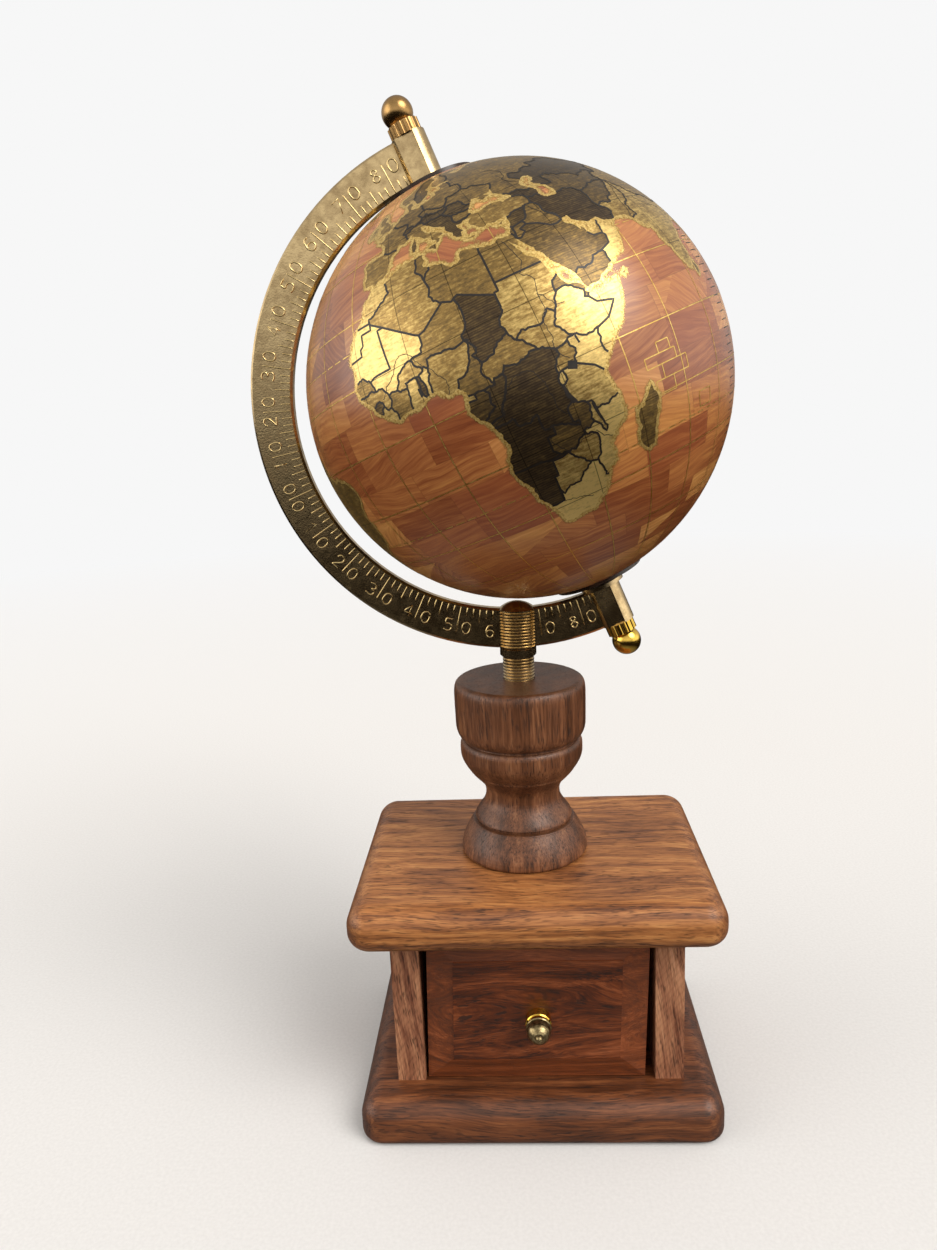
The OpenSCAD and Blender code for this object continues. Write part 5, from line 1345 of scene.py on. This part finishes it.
def stitched(names):
    """Joins named lines end to end into one closed outline."""
    left = [list(map_lines[name]) for name in names]
    outline = left.pop(0)
    while left:
        end = key_of(outline[-1])
        match = next((p for p in left if end in (key_of(p[0]), key_of(p[-1]))), None)
        if match is None:
            raise ValueError(f"the outline of {names} is open at {end}")
        left.remove(match)
        outline += match[1:] if key_of(match[0]) == end else match[-2::-1]
    return outline[:-1]


countries = []
used = set()
for row in rows_of(COUNTRY_TEXT):
    title, _, names = row.partition(":")
    name, bright, hatch = title.split()
    used.update(names.split())
    countries.append((stitched(names.split()), float(bright), float(hatch)))
for name, points in map_lines.items():
    if name not in used and key_of(points[0]) == key_of(points[-1]):
        countries.append((points[:-1], 0.3 + 0.4 * (points[0].x * 7 % 1), 0.2))
print("countries and islands:", len(countries))

# %% [markdown]
# ## Filling the land
#
# Each country is filled with small triangles, because one flat face would cut through the ball. A
# constrained Delaunay triangulation does this in one go for the whole world: it is given the
# outlines and a grid of loose points, and every triangle it makes lies wholly inside one country or
# in the sea. The land triangles become one foil mesh. The sea triangles close to a coast become a
# second one, and each of its corners remembers how far it is from the shore.

# %% Triangulate the world
FRINGE_DEG = 2.1
corner_of, corners, loops = {}, [], []
for outline, bright, hatch in countries:
    loop = []
    for point in outline:
        key = key_of(point)
        if key not in corner_of:
            corner_of[key] = len(corners)
            corners.append(point)
        loop.append(corner_of[key])
    loops.append(loop)
coast_points = [p for name, line in map_lines.items() if "~" in name for p in line]


def level_place(point):
    """Degrees east shortened towards the poles, so that distances come out right."""
    return Vector((point.x * math.cos(math.radians(point.y)), point.y, 0))


coast_tree = kdtree.KDTree(len(coast_points))
for i, point in enumerate(coast_points):
    coast_tree.insert(level_place(point), i)
coast_tree.balance()


def shore_distance(point):
    """How far a place is from the nearest coast, in degrees."""
    return coast_tree.find(level_place(point))[2]


line_tree = kdtree.KDTree(len(corners))
for i, point in enumerate(corners):
    line_tree.insert((point.x, point.y, 0), i)
line_tree.balance()
latitude = -56.0
while latitude < 84:
    squeezed = max(math.cos(math.radians(latitude)), 0.15)
    longitude = -175.0
    while longitude < 191:
        point = Vector((longitude + (latitude * 3.1) % 0.9, latitude))
        pitch = 1.3 if near_front(point) else 2.3
        if line_tree.find((point.x, point.y, 0))[2] > pitch * 0.45:
            corners.append(point)
        longitude += pitch / squeezed
    latitude += 1.3 if latitude > -38 and latitude < 60 else 2.3
sides = {tuple(sorted(pair)) for loop in loops for pair in zip(loop, loop[1:] + loop[:1])}
flat_points, _, triangles, *_ = geometry.delaunay_2d_cdt(corners, list(sides), [], 0, 1e-5, False)
print("triangles in the world:", len(triangles))


# %% Which country a triangle lies in
def inside(places, outline):
    """For rows of x and y, whether each lies in an outline: a ray to the east crosses it oddly."""
    x, y = places[:, 0, None], places[:, 1, None]
    a = np.array(outline)
    b = np.roll(a, -1, axis=0)
    spans = (a[:, 1] > y) != (b[:, 1] > y)
    rise = np.where(b[:, 1] == a[:, 1], 1.0, b[:, 1] - a[:, 1])
    meets = a[:, 0] + (y - a[:, 1]) * (b[:, 0] - a[:, 0]) / rise
    return (spans & (x < meets)).sum(axis=1) % 2 == 1


middles = np.array([sum((flat_points[i] for i in t), Vector((0, 0))) / 3 for t in triangles])
owners = np.full(len(triangles), -1)
for number, (outline, bright, hatch) in enumerate(countries):
    low, high = np.array(outline).min(axis=0), np.array(outline).max(axis=0)
    close = np.flatnonzero(((middles > low) & (middles < high)).all(axis=1))
    owners[close[inside(middles[close], outline)]] = number
print("triangles on land:", int((owners >= 0).sum()))

# %% [markdown]
# ## Gold foil
#
# The land looks like gold foil that was rubbed with brown, so a bright country is bare foil and a
# dark one is foil under ink, with fine hatching. Long soft scratches run east and west. Fine dark
# lines cross it every fifteen degrees. Each triangle's corners carry the country's own brightness
# and hatching, which the material reads as an attribute. In the far south, South Africa above all,
# that brightness is raised above the print as a painted reflection of the pale floor below. The
# fringe along the coasts is thinner foil. Its edge is ragged, so its Alpha comes from noise added
# to the distance from shore.

# %% Foil
FOIL_LIFT = 0.05 * MM

foil, tree, shader = new_material("map_foil")
marks = add(tree, "Attribute", attribute_name="Print")
marks = add(tree, "SeparateColor", {"Color": marks.outputs["Color"]}).outputs
angles = place_group(tree, globe_angles, {"Vector": own_place(tree)})
speckle = grain_noise(tree, own_place(tree), 1500.0, 3.0, 0.6)
relief = grain_noise(tree, own_place(tree), 240.0, 4.0, 0.65, 0.6)
lay = add(tree, "CombineXYZ", {"X": angles["East"], "Y": angles["North"]}).outputs[0]
rub = grain_noise(tree, arrow(tree, "MULTIPLY", lay, (0.35, 1.5, 1.0)), 1.0, 5.0, 0.68)
# Foil tone: scratches, relief and each country's brightness. In the far south that brightness includes a
# painted reflection of the floor.
foil_tone_and_reflection = calc(tree, "MULTIPLY_ADD", calc(tree, "SUBTRACT", rub, 0.5), 1.1, marks["Red"])
foil_tone_and_reflection = calc(tree, "MULTIPLY_ADD", calc(tree, "SUBTRACT", relief, 0.5), 0.5, foil_tone_and_reflection)
foil_tone_and_reflection = calc(tree, "MULTIPLY_ADD", calc(tree, "SUBTRACT", speckle, 0.5), 0.35, foil_tone_and_reflection)
FOIL_TONES = [(0.05, "#4a3c2c"), (0.3, "#6a5738"), (0.55, "#987b45"), (0.95, "#efd083")]
colour = ramp(tree, foil_tone_and_reflection, FOIL_TONES)
HATCH_STEP = 0.55
stripe = calc(tree, "PINGPONG", calc(tree, "MULTIPLY_ADD", relief, 0.12, angles["North"]), HATCH_STEP / 2)
stripe = spread(tree, stripe, 0.05, 0.16, 1.0, 0.0)
stripe = calc(tree, "MULTIPLY", stripe, calc(tree, "MULTIPLY", marks["Green"], 0.5))
colour = blend(tree, stripe, colour, tint("#1d1610"))
GRID_STEP = 15.0
grid_east = calc(tree, "PINGPONG", angles["East"], GRID_STEP / 2)
grid_north = calc(tree, "PINGPONG", angles["North"], GRID_STEP / 2)
print_line = spread(tree, calc(tree, "MINIMUM", grid_east, grid_north), 0.06, 0.14, 0.75, 0.0)
colour = blend(tree, print_line, colour, tint("#1a140e"))
plug(tree, shader.inputs["Base Color"], colour)
shader.inputs["Metallic"].default_value = 0.7
rough = calc(tree, "MULTIPLY_ADD", rub, 0.24, 0.2)
plug(tree, shader.inputs["Roughness"], rough)
bumped(tree, shader, speckle, 0.25, 0.00006)

# %% Fringe foil
fringe_foil, tree, shader = new_material("fringe_foil")
marks = add(tree, "Attribute", attribute_name="Print")
shore = add(tree, "SeparateColor", {"Color": marks.outputs["Color"]}).outputs["Red"]
ragged = grain_noise(tree, own_place(tree), 420.0, 4.0, 0.6)
edge = calc(tree, "MULTIPLY_ADD", calc(tree, "SUBTRACT", ragged, 0.5), 0.9, shore)
seen = spread(tree, edge, 0.26, 0.58, 1.0, 0.0)
dots = grain_noise(tree, own_place(tree), 2200.0, 1.0)
seen = calc(tree, "MULTIPLY", seen, spread(tree, calc(tree, "SUBTRACT", dots, shore), -0.1, 0.2, 0.6, 1.0))
plug(tree, shader.inputs["Alpha"], seen)
plug(tree, shader.inputs["Base Color"], ramp(tree, dots, [(0.3, "#b08a42"), (0.7, "#e6ca80")]))
shader.inputs["Metallic"].default_value = 0.6
shader.inputs["Roughness"].default_value = 0.3
bumped(tree, shader, dots, 0.2, 0.00005)

# %% Land and fringe meshes
def printed_mesh(name, chosen, material, lift, mark_of):
    """A mesh of chosen triangles on the ball, with two printed values kept at each corner."""
    new_index, verts, faces, marks = {}, [], [], []
    for number in chosen:
        face = []
        for i in triangles[number]:
            if i not in new_index:
                new_index[i] = len(verts)
                verts.append(on_globe(flat_points[i].x, flat_points[i].y, lift))
            face.append(new_index[i])
            marks += [*mark_of(number, i), 0.0, 1.0]
        faces.append(face)
    piece = mesh_piece(name, verts, faces, material, "globe")
    layer = piece.data.attributes.new("Print", "FLOAT_COLOR", "CORNER")
    layer.data.foreach_set("color", marks)
    outward = piece.data.polygons[0].normal.dot(piece.data.polygons[0].center - centre)
    if outward < 0:
        piece.data.flip_normals()


land = np.flatnonzero(owners >= 0)
printed_mesh("map_land", land, foil, FOIL_LIFT, lambda n, i: countries[owners[n]][1:])
distances = [shore_distance(point) / FRINGE_DEG for point in flat_points]
fringe = []
for n in np.flatnonzero(owners < 0):
    reach = [distances[i] for i in triangles[n]]
    if min(reach) < 0.8 and max(reach) < 1.6:
        fringe.append(n)
printed_mesh("map_fringe", fringe, fringe_foil, FOIL_LIFT, lambda n, i: (min(distances[i], 1.0), 0.0))
print("land triangles", len(land), "fringe triangles", len(fringe))

# %% [markdown]
# ## Borders, rivers and lakes
#
# The borders are heavy black lines printed over the foil. Each is a flat ribbon that follows its
# line, a hair above the foil, with its corners mitred. Rivers are the same ribbon, only thinner, and
# the long lakes are short thick ones.

# %% Ribbons on the ball
RIBBON_LIFT = 0.09 * MM


def add_ribbon(points, width, lift, verts, faces):
    """Adds a flat ribbon along points of longitude and latitude."""
    spots = [on_globe(p.x, p.y, lift) for p in points]
    start = len(verts)
    for i, spot in enumerate(spots):
        along = spots[min(i + 1, len(spots) - 1)] - spots[max(i - 1, 0)]
        across = along.cross(spot - centre).normalized() * (width / 2)
        verts += [spot - across, spot + across]
    for i in range(start, start + 2 * len(spots) - 2, 2):
        faces.append((i, i + 2, i + 3, i + 1))


def ink(name, tones, rough, metallic=0.0):
    """Printed ink or foil for thin lines."""
    material, tree, shader = new_material(name)
    blotch = grain_noise(tree, own_place(tree), 700.0, 3.0, 0.6)
    plug(tree, shader.inputs["Base Color"], ramp(tree, blotch, list(zip((0.3, 0.7), tones))))
    plug(tree, shader.inputs["Roughness"], spread(tree, blotch, 0.3, 0.7, rough, rough + 0.15))
    shader.inputs["Metallic"].default_value = metallic
    bumped(tree, shader, blotch, 0.1, 0.00005)
    return material


black_ink = ink("black_ink", ("#0f0b08", "#241b13"), 0.35)
line_gold = ink("line_gold", ("#b98f3e", "#ecce7c"), 0.28, 0.85)
BORDER_WIDTH = 0.55 * MM
RIVER_WIDTH = 0.17 * MM
border_verts, border_faces = [], []
for name, points in map_lines.items():
    if "~" not in name:
        add_ribbon(points, BORDER_WIDTH, RIBBON_LIFT, border_verts, border_faces)
mesh_piece("map_borders", border_verts, border_faces, black_ink, "globe")

RIVERS = """
nile: 31 30.5, 32.5 26, 33 24, 31 21.5, 33.5 19, 33 17, 32.5 15.6, 32.5 12, 31 9.5, 31.5 6, 31.3 2.2,
  33 0.5
blue_nile: 32.5 15.6, 35 12, 37.3 11.8
niger: 6 4.5, 6.7 7.5, 4.5 11, 2 13.5, 0 16.5, -3 16.7, -5 14, -8 12.2, -10 10
congo: 12.4 -6, 15.5 -4.5, 17 -1, 20 1.8, 23.5 2, 25.3 0, 26 -4, 26.5 -8, 28 -10
zambezi: 36.3 -18.7, 33 -16, 29 -16.5, 25.5 -17.8, 23 -15, 22.5 -12.5
orange: 16.5 -28.6, 20 -28.7, 24 -29.3, 27.5 -30.5
tigris: 48 30.5, 46 32.5, 43.5 35.5, 42 37.5
indus: 67.5 24.2, 69.5 28, 71.5 31.5, 74 34.5
volga: 47.5 46, 44.5 48.5, 48 53, 44 56.3
danube: 29.5 45.2, 26 44, 20.5 45, 19 47.8, 13 48.5
amazon: -50.5 0, -55 -2.3, -60 -3.2, -66 -2.8, -73 -4.5
mississippi: -89.5 29.5, -91.3 33, -89.5 37, -91 41, -94 46
ganges: 89 22, 87 25.5, 80 27, 78 30
yangtze: 121.5 31.5, 116 29.8, 111.5 30.5, 104 29
"""
LAKES = {
    "victoria": (["32 -0.6", "33 -1", "34 -1.4"], 2.0),
    "tanganyika": (["29.4 -3.8", "29.7 -6", "30.9 -8.4"], 0.7),
    "malawi_lake": (["34.1 -10", "34.4 -12", "35 -14"], 0.7),
    "chad_lake": (["13.8 13.4", "14.6 13"], 0.9),
    "turkana": (["36 4.4", "36.3 2.6"], 0.5),
    "volta": (["-0.2 8.6", "0 6.6"], 0.6),
    "aral": (["59 45.5", "60 44.5"], 1.3),
    "baikal": (["104 51.7", "107 53", "109.7 55.5"], 0.6),
    "superior": (["-91 47", "-88 48", "-85.5 47"], 1.0),
    "michigan": (["-87.3 42", "-86.5 45.5"], 0.9),
}
water_verts, water_faces = [], []
for points in read_lines(RIVERS).values():
    add_ribbon(points, RIVER_WIDTH, RIBBON_LIFT, water_verts, water_faces)
for places, width in LAKES.values():
    points = rounded([Vector((*(float(v) for v in place.split()), 0)) for place in places], 3)
    add_ribbon(points, width * MM, RIBBON_LIFT, water_verts, water_faces)
mesh_piece("map_waters", water_verts, water_faces, black_ink, "globe")

# %% [markdown]
# ## Gold lines on the sea
#
# Meridians and parallels are thin gold lines, whole or broken into dashes for the tropics and the
# polar circles. A ladder of short dark ticks runs along one meridian in the Indian Ocean. Off East
# Africa the printer set small framed boxes for the island groups; only the frames are made here. The
# lines lie under the foil of the land, so they stop at each coast.

# %% Sea lines
LINE_WIDTH = 0.26 * MM
LINE_LIFT = 0.03 * MM
sea_verts, sea_faces = [], []


def straight(start, end, step=1.5):
    """Points on a line of longitude and latitude."""
    count = max(1, math.ceil((end - start).length / step))
    return [start.lerp(end, i / count) for i in range(count + 1)]


for east in range(-180, 180, 15):
    meridian = straight(Vector((east, -77)), Vector((east, 77)))
    add_ribbon(meridian, LINE_WIDTH, LINE_LIFT, sea_verts, sea_faces)
for north in range(-60, 61, 15):
    parallel = straight(Vector((-180, north)), Vector((180, north)))
    add_ribbon(parallel, LINE_WIDTH, LINE_LIFT, sea_verts, sea_faces)
DASH, DASH_GAP = 2.6, 1.2
for north in (-66.5, -23.4, 23.4, 66.5):
    east = -180.0
    while east < 180:
        dash = straight(Vector((east, north)), Vector((east + DASH, north)))
        add_ribbon(dash, LINE_WIDTH, LINE_LIFT, sea_verts, sea_faces)
        east += DASH + DASH_GAP
mesh_piece("sea_lines", sea_verts, sea_faces, line_gold, "globe")

TICK_WEST, TICK_EAST = 84.5, 89.5
tick_verts, tick_faces = [], []
for north in range(-60, 20, 2):
    tick = straight(Vector((TICK_WEST, north)), Vector((TICK_EAST, north)))
    add_ribbon(tick, LINE_WIDTH, LINE_LIFT, tick_verts, tick_faces)
mesh_piece("degree_ticks", tick_verts, tick_faces, black_ink, "globe")

FRAMES = [
    ((53.6, -4.2), (57.4, -6.6)),
    ((49.2, -6.6), (58.6, -9.0)),
    ((53.6, -9.0), (61.8, -12.2)),
    ((50.8, -12.2), (56.4, -15.4)),
    ((64.5, -18.8), (69.5, -22.4)),
]
frame_verts, frame_faces = [], []
for (west, north), (east, south) in FRAMES:
    turns = ((west, north), (east, north), (east, south), (west, south), (west, north))
    ring = [Vector(p) for p in turns]
    for a, b in zip(ring, ring[1:]):
        add_ribbon(straight(a, b), LINE_WIDTH, LINE_LIFT * 1.5, frame_verts, frame_faces)
mesh_piece("island_frames", frame_verts, frame_faces, line_gold, "globe")
print("sea lines:", len(sea_faces), "faces")
